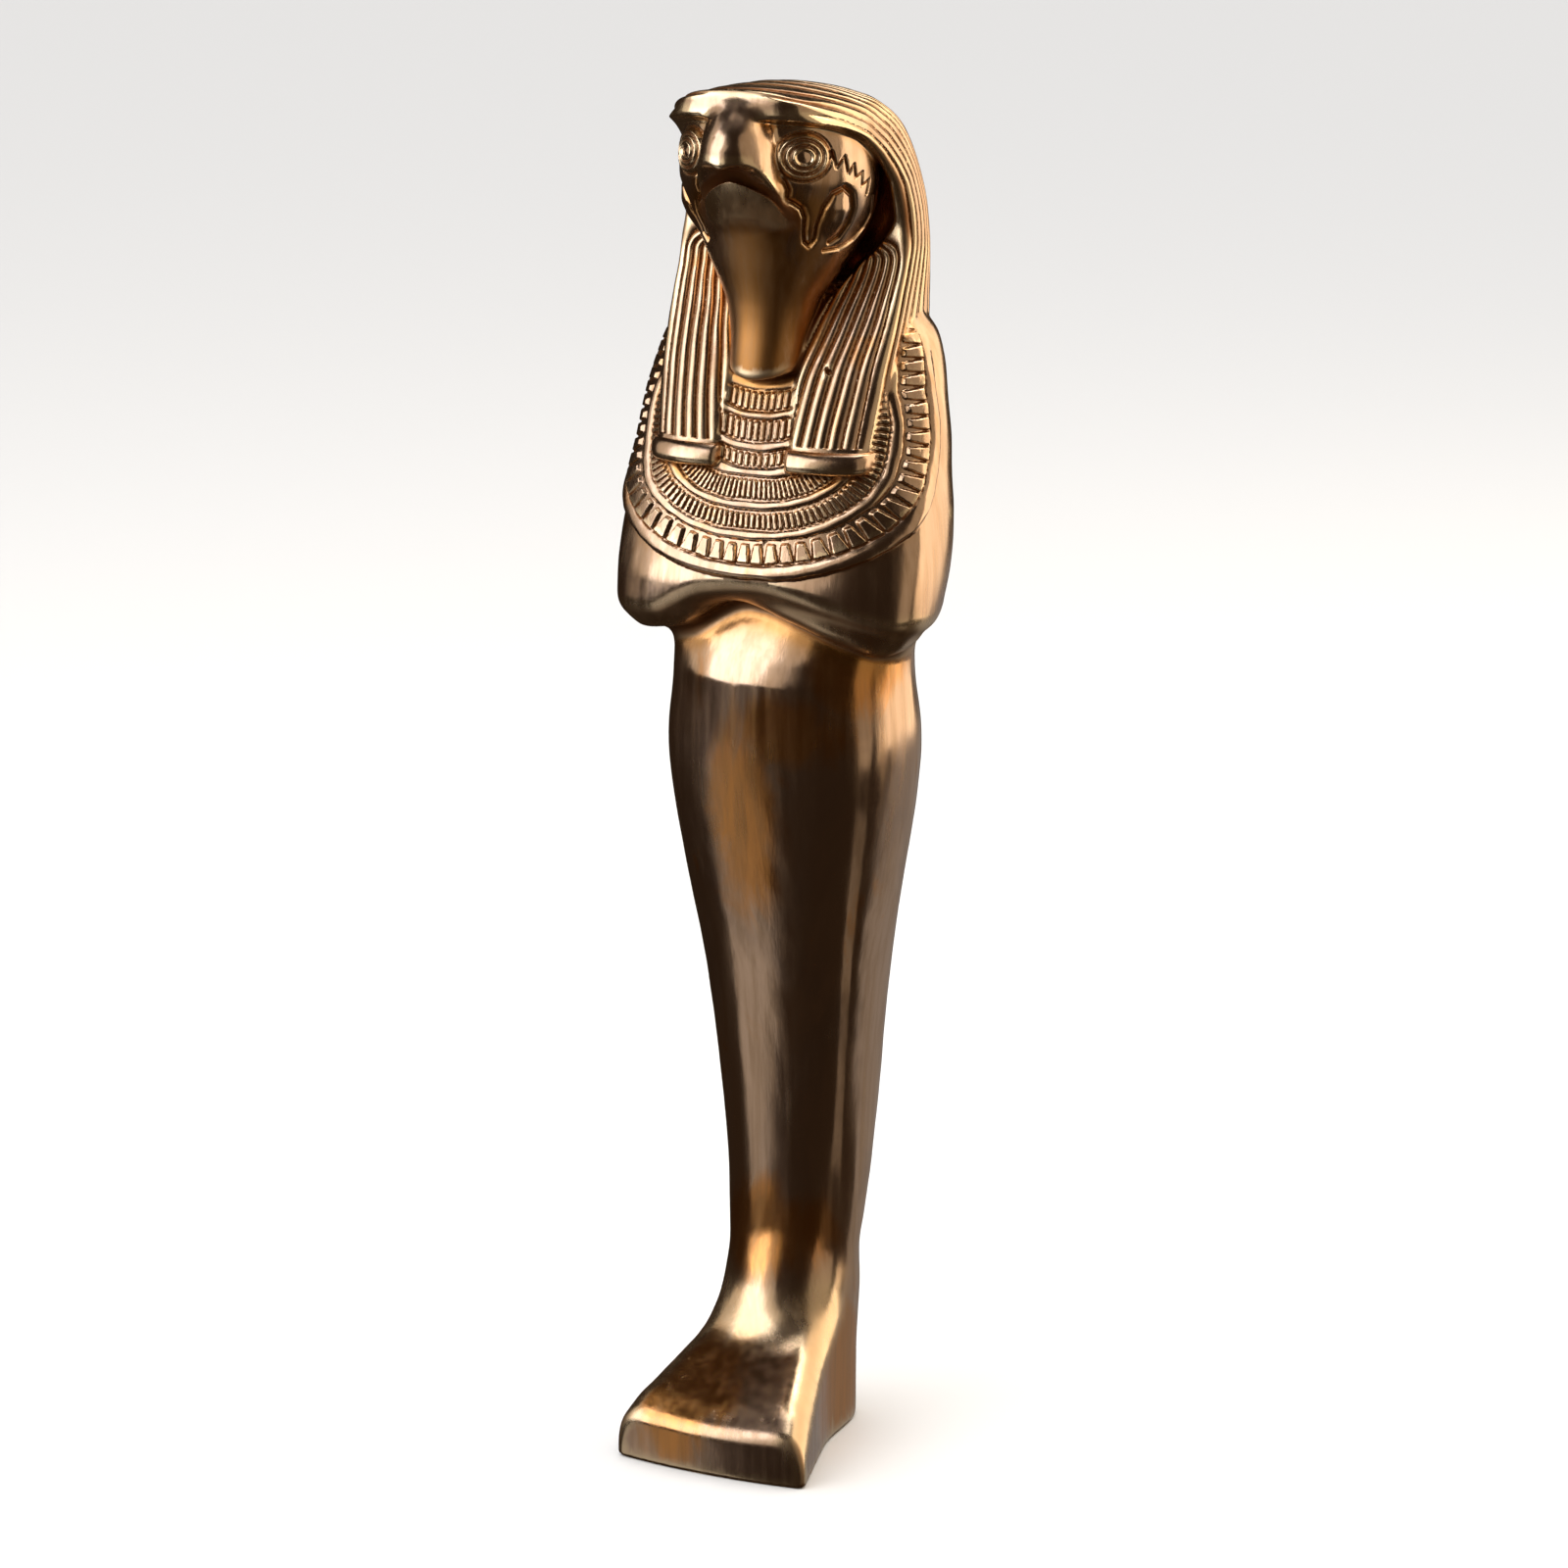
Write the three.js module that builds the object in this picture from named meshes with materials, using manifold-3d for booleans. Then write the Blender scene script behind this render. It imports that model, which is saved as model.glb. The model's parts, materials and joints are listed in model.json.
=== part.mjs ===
// Falcon-headed standing figure of cast bronze, wrapped like a mummy and standing on its own foot block.
// Millimetres, +Z up, the face looks along -Y and the figure's left side is +X.
// The outline, the pose and the carving are shares of the figure's height.
import * as THREE from 'three'
import Module from 'manifold-3d'

// Overall size
const HEIGHT = 500
// Foot block
const TOE_HALF_WIDTH = 39.5
const TOE_REACH = 73.5
const TOE_HEIGHT = 16
const TOE_BOW = 3.5
const HEEL_HALF_WIDTH = 22
const SOLE_EDGE = 1.2
// Leg, arm and shoulder widths
const ANKLE_HALF_WIDTH = 20.6
const SHIN_HALF_WIDTH = 28.4
const THIGH_HALF_WIDTH = 47
const ELBOW_HALF_WIDTH = 63.2
const SHOULDER_HALF_WIDTH = 56.5
// Head and wig
const WIG_HALF_WIDTH = 47
const WIG_BACK = 44.5
const FACE_HALF_WIDTH = 36
const THROAT_HALF_WIDTH = 12.9
const BEAK_REACH = 59
const BEAK_HALF_WIDTH = 11.5
const EYE_RADIUS = 8.2
const EYE_RELIEF = 1.3
// Wig strands and the bars that end the lappets
const STRAND_PITCH = 7.2
const STRAND_DEPTH = 1.3
const LAPPET_END = 367
const BAR_HEIGHT = 9
const BAR_RELIEF = 2.4
// Collar
const COLLAR_RELIEF = 1.5
const COLLAR_DROP = 66
const RING_RELIEF = 0.9
// Meshing
const CELL = 1.5
const TRIANGLE_TARGET = 9400

const S = HEIGHT / 500

const clamp = (v, a, b) => Math.min(b, Math.max(a, v))
const ease = (a, b, v) => {
  const t = clamp((v - a) / (b - a), 0, 1)
  return t * t * (3 - 2 * t)
}
const mix = (a, b, t) => a + (b - a) * t
const softMin = (a, b, k) => {
  const h = Math.max(k - Math.abs(a - b), 0) / k
  return Math.min(a, b) - h * h * k * 0.25
}
const softMax = (a, b, k) => -softMin(-a, -b, k)

// A smooth profile through stations of [height, value], with slopes that never overshoot
function profile(stations) {
  const n = stations.length
  const z = stations.map((s) => s[0])
  const v = stations.map((s) => s[1])
  const slope = new Array(n).fill(0)
  for (let i = 1; i < n - 1; i++) {
    const a = (v[i] - v[i - 1]) / (z[i] - z[i - 1])
    const b = (v[i + 1] - v[i]) / (z[i + 1] - z[i])
    slope[i] = a * b > 0 ? (2 * a * b) / (a + b) : 0
  }
  slope[0] = (v[1] - v[0]) / (z[1] - z[0])
  slope[n - 1] = (v[n - 1] - v[n - 2]) / (z[n - 1] - z[n - 2])
  const steps = 400
  const span = z[n - 1] - z[0]
  const table = new Float64Array(steps + 2)
  for (let s = 0, i = 0; s <= steps; s++) {
    const h = z[0] + (span * s) / steps
    while (i < n - 2 && h > z[i + 1]) i++
    const w = z[i + 1] - z[i]
    const t = (h - z[i]) / w
    const a = v[i] + t * t * (3 - 2 * t) * (v[i + 1] - v[i])
    table[s] = a + w * t * (1 - t) * ((1 - t) * slope[i] - t * slope[i + 1])
  }
  table[steps + 1] = table[steps]
  return (h) => {
    const at = clamp(((h - z[0]) * steps) / span, 0, steps)
    const s = Math.floor(at)
    return table[s] + (table[s + 1] - table[s]) * (at - s)
  }
}

// Distance to an oval outline of half width w, front depth f and back depth b
function oval(x, y, w, f, b, nFront, nBack = nFront) {
  const d = y < 0 ? f : b
  const n = y < 0 ? nFront : nBack
  const qx = Math.abs(x) / w
  const qy = Math.abs(y) / d
  const r = Math.pow(Math.pow(qx, n) + Math.pow(qy, n), 1 / n)
  if (r < 0.05) return -Math.min(w, d)
  const gx = Math.pow(qx / r, n - 1) / w
  const gy = Math.pow(qy / r, n - 1) / d
  return (r - 1) / Math.sqrt(gx * gx + gy * gy)
}

// Legs and body, from the heel to the waist
const legHalf = profile([
  [0, HEEL_HALF_WIDTH], [22, HEEL_HALF_WIDTH], [46, ANKLE_HALF_WIDTH], [60, ANKLE_HALF_WIDTH + 0.4],
  [80, SHIN_HALF_WIDTH - 3.4], [125, SHIN_HALF_WIDTH], [170, SHIN_HALF_WIDTH + 4.2],
  [215, THIGH_HALF_WIDTH - 7], [245, THIGH_HALF_WIDTH - 2.2], [270, THIGH_HALF_WIDTH],
  [292, THIGH_HALF_WIDTH - 1], [330, THIGH_HALF_WIDTH + 1],
])
const legMiddle = profile([
  [0, 0], [46, 0], [60, -1], [80, 2], [105, 5], [130, 6], [170, 4.6], [215, 1.8], [270, 0.4], [330, -2],
])
const legFront = profile([
  [0, 20], [60, 20.5], [80, 22.5], [125, 25.5], [170, 28], [215, 32], [270, 36], [300, 33], [330, 33],
])
const legBack = profile([
  [0, 18.5], [50, 17], [80, 19], [125, 22], [170, 25], [215, 29], [262, 34], [300, 31], [330, 31],
])

// Arms, chest and shoulders
const trunkHalf = profile([
  [300, ELBOW_HALF_WIDTH - 4.7], [317, ELBOW_HALF_WIDTH - 1.2], [334, ELBOW_HALF_WIDTH],
  [350, ELBOW_HALF_WIDTH - 0.4], [367, ELBOW_HALF_WIDTH - 2.6], [384, SHOULDER_HALF_WIDTH + 2.3],
  [398, SHOULDER_HALF_WIDTH], [406, SHOULDER_HALF_WIDTH - 2.1], [413, SHOULDER_HALF_WIDTH - 4.5],
  [420, SHOULDER_HALF_WIDTH - 10.5], [430, SHOULDER_HALF_WIDTH - 24.5],
])
const trunkMiddle = profile([
  [300, -19], [310, -17.5], [318, -14.5], [329, -10], [345, -5], [360, -1.5], [376, 2.5], [391, 4.5],
  [405, 8], [430, 12],
])
const trunkFront = profile([
  [300, 20], [318, 25], [329, 29.5], [345, 31.5], [360, 33], [376, 32.5], [391, 30.5], [405, 28], [430, 18],
])
const trunkBack = profile([[300, 49], [318, 48], [330, 46], [360, 40], [390, 33], [412, 26], [430, 16]])

// Wig
const wigHalf = profile([
  [360, WIG_HALF_WIDTH - 4.6], [385, WIG_HALF_WIDTH - 2], [420, WIG_HALF_WIDTH],
  [440, WIG_HALF_WIDTH], [456, WIG_HALF_WIDTH - 0.8], [470, WIG_HALF_WIDTH - 3.4],
  [483, WIG_HALF_WIDTH - 7.3], [491, WIG_HALF_WIDTH - 10.6], [498, WIG_HALF_WIDTH - 14],
])
const wigBack = profile([
  [380, WIG_BACK - 3.5], [420, WIG_BACK], [445, WIG_BACK], [462, WIG_BACK - 1.5],
  [476, WIG_BACK - 4.5], [488, WIG_BACK - 9.5], [498, WIG_BACK - 15.5],
])
const wigFront = profile([
  [367, -37.5], [385, -32.5], [400, -27], [412, -18], [427, -7], [446, -1], [464, -7],
  [474, -16], [481, -27], [487, -45], [500, -50],
])
const wigGap = profile([
  [367, 14.4], [400, THROAT_HALF_WIDTH - 0.6], [414, 19], [430, 31], [442, WIG_HALF_WIDTH - 9.5],
  [460, WIG_HALF_WIDTH - 8.5], [470, WIG_HALF_WIDTH - 10.2], [480, WIG_HALF_WIDTH - 14],
  [490, WIG_HALF_WIDTH - 18],
])

// Face and throat
const faceHalf = profile([
  [392, THROAT_HALF_WIDTH], [402, THROAT_HALF_WIDTH], [412, THROAT_HALF_WIDTH + 0.5],
  [424, THROAT_HALF_WIDTH + 3.3], [437, FACE_HALF_WIDTH - 12.4], [451, FACE_HALF_WIDTH - 5],
  [461, FACE_HALF_WIDTH - 1.4], [472, FACE_HALF_WIDTH], [484, FACE_HALF_WIDTH - 0.8],
  [494, FACE_HALF_WIDTH - 3],
])
const faceMiddle = profile([
  [392, -24], [402, -23], [424, -17.6], [437, -13], [453, -10], [472, -12], [494, -10],
])
const faceDepth = profile([
  [392, 12], [412, 12.6], [424, 15], [437, 21], [451, 27], [461, 31], [472, 33], [494, 33],
])
const beakHalf = profile([
  [464, BEAK_HALF_WIDTH + 2.5], [478, BEAK_HALF_WIDTH + 1], [484, BEAK_HALF_WIDTH],
  [490, BEAK_HALF_WIDTH - 2.5], [495, BEAK_HALF_WIDTH - 5.5], [500, BEAK_HALF_WIDTH - 8.5],
])
const beakFront = profile([
  [470, BEAK_REACH - 3], [478, BEAK_REACH - 0.4], [483, BEAK_REACH], [489, BEAK_REACH - 3.2],
  [494, BEAK_REACH - 8.5], [500, BEAK_REACH - 16],
])

// Lower edges of the two crossed forearms
const upperRoll = profile([[-60, 306], [-40, 308], [-15, 318], [3, 320], [32, 314], [50, 309], [62, 306]])
const lowerRoll = profile([[-60, 301], [-30, 307.5], [-7, 318], [15, 312], [36, 304], [46, 301], [62, 303]])

function footField(x, y, z) {
  const ax = Math.abs(x)
  const half = mix(TOE_HALF_WIDTH, HEEL_HALF_WIDTH, clamp((y + TOE_REACH) / (TOE_REACH + 2), 0, 1.2))
  const side = (ax - half) * 0.98
  const bow = TOE_BOW * (x / TOE_HALF_WIDTH) ** 2
  const front = -(y + TOE_REACH - bow)
  const back = y - 3
  const along = y + TOE_REACH
  const rise = TOE_HEIGHT + along * 0.52 + 3 * ease(0, 14, along)
  const round = 2.5 * (ax / half) ** 4
  const top = (z - rise + round) * 0.85
  let d = softMax(side, top, 9)
  d = softMax(d, back, 6)
  return softMax(d, front, 3.2)
}

function legField(x, y, z) {
  const dy = y - legMiddle(z)
  const n = 2 + 0.55 * ease(60, 150, z)
  const shell = oval(x, dy, legHalf(z), legFront(z), legBack(z), n)
  const turn = Math.atan2(-dy / legFront(z), Math.abs(x) / legHalf(z))
  const ridge = Math.exp(-(((turn - 0.66) / 0.17) ** 2)) * 0.9 * ease(70, 150, z)
  return softMax(shell - ridge, z - 330, 10)
}

function trunkShell(x, y, z) {
  const dy = y - trunkMiddle(z)
  const squareness = mix(2.5, 2.2, ease(340, 385, z))
  const shell = oval(x, dy, trunkHalf(z), trunkFront(z), trunkBack(z), squareness, 2.05)
  const turn = Math.atan2(-dy / trunkFront(z), Math.abs(x) / trunkHalf(z))
  const ridge = Math.exp(-(((turn - 0.5) / 0.16) ** 2)) * 0.9
  return shell - ridge * ease(300, 330, z) * (1 - ease(380, 400, z))
}

// How far a point of the chest lies out from the neck towards the collar's rim, 1 at the rim
function collarReach(x, y, z) {
  const turn = Math.atan2(Math.abs(x), -(y - 2)) * 50
  const down = Math.max(0, 395 - z)
  return ((turn / 70.5) ** 2.2 + (down / COLLAR_DROP) ** 2.2) ** (1 / 2.2)
}

const RINGS = [[0.09, 0.125], [0.255, 0.312], [0.4, 0.464], [0.588, 0.638], [0.748, 0.797], [0.925, 0.995]]

function trunkField(x, y, z) {
  const shell = trunkShell(x, y, z)
  const reach = collarReach(x, y, z)
  const front = ease(6, -4, y)
  let raised = COLLAR_RELIEF * (1 - ease(0.985, 1.02, reach))
  for (const [a, b] of RINGS) {
    raised += RING_RELIEF * ease(a - 0.018, a + 0.006, reach) * (1 - ease(b - 0.006, b + 0.018, reach))
  }
  const dressed = shell - raised * front
  const nearArm = softMax(dressed, (upperRoll(x) - z) * 0.9, 15)
  const farArm = softMax(shell + 3.4, (lowerRoll(x) - z) * 0.9, 12)
  const arms = softMin(nearArm, farArm, 1.5)
  return softMax(arms, z - 432, 6)
}

// The front of the lappets bends back with the chest
const lappetBend = (x, z) => 0.0055 * x * x * (1 - ease(402, 420, z))

// Way across the strands in mm: along the lappet's front, then round the side and over the crown
function strand(x, y, z) {
  const ax = Math.abs(x)
  const inward = (wigHalf(z) - ax) * mix(1, 1.35, ease(385, 432, z))
  const onward = y - wigFront(z) - lappetBend(x, z)
  const turn = Math.atan2(y, ax) * WIG_HALF_WIDTH
  const behind = ease(4, 30, y)
  const level = mix(turn, y, ease(466, 492, z) * (1 - behind))
  const arch = Math.hypot(level + 46, Math.max(0, z - 448) * (1 - behind)) - 44.5
  const side = ease(3, 12, onward)
  const along = mix(mix(onward, turn + 1, side), arch, ease(438, 452, z))
  return along - Math.max(0, inward - 2) * (1 - ease(440, 452, z)) * (1 - side)
}

function wigField(x, y, z) {
  const ax = Math.abs(x)
  const half = wigHalf(z)
  let d = oval(x, y, half, WIG_HALF_WIDTH, wigBack(z), mix(2.5, 3.6, ease(470, 488, z)), 2.5)
  d = softMax(d, (wigFront(z) + lappetBend(x, z) - y) * 0.85, 4)
  const gap = softMax(softMax(ax - wigGap(z), y - 8, 6), z - 490, 16)
  d = softMax(d, -gap * 0.9, 3)
  const along = strand(x, y, z)
  const smooth = ease(-30, -38, y) * ease(470, 480, z) * (1 - ease(497, 499, z))
  const border = mix(1, ease(0.5, 4, along), ease(438, 448, z))
  const groove = (1 - Math.abs(Math.sin((Math.PI * along) / STRAND_PITCH)) ** 0.8) * border
  const below = z < LAPPET_END + BAR_HEIGHT ? 0 : 1
  d += STRAND_DEPTH * groove * (1 - smooth) * below
  const bar = clamp((z - LAPPET_END) / BAR_HEIGHT, 0, 1)
  if (bar > 0 && bar < 1 && y < 0) d -= BAR_RELIEF * Math.sqrt(Math.sin(Math.PI * bar))
  const behind = 385 + 4 * (ax / half) ** 2
  d = softMax(d, mix(LAPPET_END, behind, ease(-6, 6, y)) - z, 2)
  return softMax(d, (z - 500) * 0.96 + 0.0009 * (x * x + (y + 4) * (y + 4)), 7)
}

function faceField(x, y, z) {
  const ax = Math.abs(x)
  let d = oval(x, y - faceMiddle(z), faceHalf(z), faceDepth(z), faceDepth(z) * 0.9, 2.1)
  const ex = ax - 22
  const ey = y + 37
  const ez = z - 480.5
  const across = ex * 0.8 + ey * 0.6
  const reach = Math.hypot(across, ez * 1.12)
  if (y < -20 && reach < EYE_RADIUS * 1.5) {
    const rim = Math.exp(-(((reach - EYE_RADIUS * 0.86) / 1.5) ** 2))
    const pupil = Math.sqrt(Math.max(0, 1 - (reach / (EYE_RADIUS * 0.55)) ** 2))
    d -= EYE_RELIEF * (rim + pupil)
  }
  // Raised oval behind the cheek and the streak below the eye
  if (y < 4) {
    const across2 = (ax - 31.5) * 0.5 + (y + 24) * 0.87
    const oval2 = Math.hypot(across2 / 6.6, (z - 459.5) / 9.5)
    d -= 0.9 * (1 - ease(0.75, 1.1, oval2))
  }
  return softMax(softMax(d, 394 - z, 3), z - 494, 6)
}

function beakField(x, y, z) {
  const front = beakFront(z) - 38
  let d = oval(x, y + 38, beakHalf(z), front, 14, 1.75)
  const lower = 480.5 - (y + BEAK_REACH) * 0.9 - z
  d = softMax(d, lower * 0.85, 2.5)
  const jaw = Math.hypot(x / 1.35, y + 42.5, (z - 471.5) * 1.1) - 6.6
  return softMax(softMin(d, jaw, 1.5), z - 497, 4)
}

// The whole figure as one field, below zero inside the metal
function field(x, y, z) {
  let d = legField(x, y, z)
  if (z < 110) d = softMin(d, footField(x, y, z), 12)
  if (z > 280) {
    const trunk = trunkField(x, y, z)
    d = softMin(d, trunk, mix(9, 5, ease(-20, 10, x)))
  }
  if (z > 350) {
    const wig = wigField(x, y, z)
    d = softMin(d, wig, 1.6)
    const face = faceField(x, y, z)
    const head = z > 440 ? softMin(face, beakField(x, y, z), 3) : face
    d = softMin(d, head, 2)
  }
  return d
}

// Metal that touches only across a diagonal of the grid is joined, so the surface never meets itself
function settle(value, n, step, cell) {
  const planes = [[step[0], step[1]], [step[1], step[2]], [step[0], step[2]]]
  for (let round = 0; round < 60; round++) {
    let mended = 0
    for (let k = 1; k < n[2] - 2; k++) {
      for (let j = 1; j < n[1] - 2; j++) {
        for (let i = 1; i < n[0] - 2; i++) {
          const at = i + n[0] * (j + n[1] * k)
          if (Math.abs(value[at]) > cell * 3) continue
          const here = value[at] < 0
          for (const [u, v] of planes) {
            const across = value[at + u + v] < 0
            if (here !== across || here === value[at + u] < 0 || here === value[at + v] < 0) continue
            const outside = here ? [at + u, at + v] : [at, at + u + v]
            value[value[outside[0]] < value[outside[1]] ? outside[0] : outside[1]] = -0.02 * cell
            mended++
          }
          for (const [a, b] of [[0, 7], [1, 6], [2, 5], [3, 4]]) {
            const at2 = (c) => at + (c & 1) * step[0] + ((c >> 1) & 1) * step[1] + (c >> 2) * step[2]
            const side = value[at2(a)] < 0
            if (side !== value[at2(b)] < 0) continue
            let alone = true
            for (let c = 0; c < 8 && alone; c++) {
              if (c !== a && c !== b && value[at2(c)] < 0 === side) alone = false
            }
            if (!alone) continue
            value[at2(side ? a ^ 1 : a)] = -0.02 * cell
            mended++
          }
        }
      }
    }
    if (mended === 0) return
  }
}

// Surface of the field on a grid of cells, each crossed cell giving one corner
function surface(f, low, high, cell) {
  const n = [0, 1, 2].map((i) => Math.ceil((high[i] - low[i]) / cell) + 1)
  const size = n[0] * n[1] * n[2]
  const value = new Float32Array(size).fill(1e3)
  const BLOCK = 8
  const guard = cell * BLOCK * 0.56 * 2
  for (let bk = 0; bk < n[2]; bk += BLOCK) {
    for (let bj = 0; bj < n[1]; bj += BLOCK) {
      for (let bi = 0; bi < n[0]; bi += BLOCK) {
        const c = f(low[0] + (bi + 4) * cell, low[1] + (bj + 4) * cell, low[2] + (bk + 4) * cell)
        let far = Math.abs(c) > guard
        for (let e = 0; e < 8 && far; e++) {
          const ei = bi + BLOCK * (e & 1)
          const ej = bj + BLOCK * ((e >> 1) & 1)
          const v = f(low[0] + ei * cell, low[1] + ej * cell, low[2] + (bk + BLOCK * (e >> 2)) * cell)
          far = Math.abs(v) > guard && v < 0 === c < 0
        }
        for (let k = bk; k < Math.min(bk + BLOCK, n[2]); k++) {
          for (let j = bj; j < Math.min(bj + BLOCK, n[1]); j++) {
            for (let i = bi; i < Math.min(bi + BLOCK, n[0]); i++) {
              const at = i + n[0] * (j + n[1] * k)
              value[at] = far ? c : f(low[0] + i * cell, low[1] + j * cell, low[2] + k * cell)
            }
          }
        }
      }
    }
  }
  const step = [1, n[0], n[0] * n[1]]
  settle(value, n, step, cell)
  const corner = new Int32Array(size).fill(-1)
  const points = []
  for (let k = 0; k < n[2] - 1; k++) {
    for (let j = 0; j < n[1] - 1; j++) {
      for (let i = 0; i < n[0] - 1; i++) {
        const at = i + n[0] * (j + n[1] * k)
        let inside = 0
        for (let c = 0; c < 8; c++) {
          if (value[at + (c & 1) + ((c >> 1) & 1) * step[1] + (c >> 2) * step[2]] < 0) inside++
        }
        if (inside === 0 || inside === 8) continue
        let sx = 0
        let sy = 0
        let sz = 0
        let count = 0
        for (let e = 0; e < 3; e++) {
          for (let c = 0; c < 8; c++) {
            if ((c >> e) & 1) continue
            const cx = c & 1
            const cy = (c >> 1) & 1
            const cz = c >> 2
            const a = value[at + cx + cy * step[1] + cz * step[2]]
            const b = value[at + cx + cy * step[1] + cz * step[2] + step[e]]
            if (a < 0 === b < 0) continue
            const t = a / (a - b)
            sx += cx + (e === 0 ? t : 0)
            sy += cy + (e === 1 ? t : 0)
            sz += cz + (e === 2 ? t : 0)
            count++
          }
        }
        corner[at] = points.length / 3
        points.push(low[0] + (i + sx / count) * cell)
        points.push(low[1] + (j + sy / count) * cell)
        points.push(low[2] + (k + sz / count) * cell)
      }
    }
  }
  const faces = []
  for (let k = 1; k < n[2] - 1; k++) {
    for (let j = 1; j < n[1] - 1; j++) {
      for (let i = 1; i < n[0] - 1; i++) {
        const at = i + n[0] * (j + n[1] * k)
        for (let e = 0; e < 3; e++) {
          const a = value[at] < 0
          const b = value[at + step[e]] < 0
          if (a === b) continue
          const u = step[(e + 1) % 3]
          const v = step[(e + 2) % 3]
          const q = [corner[at], corner[at - u], corner[at - u - v], corner[at - v]]
          if (b) q.reverse()
          faces.push(q[0], q[1], q[2], q[0], q[2], q[3])
        }
      }
    }
  }
  return { points: Float64Array.from(points), faces: Int32Array.from(faces) }
}

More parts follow.
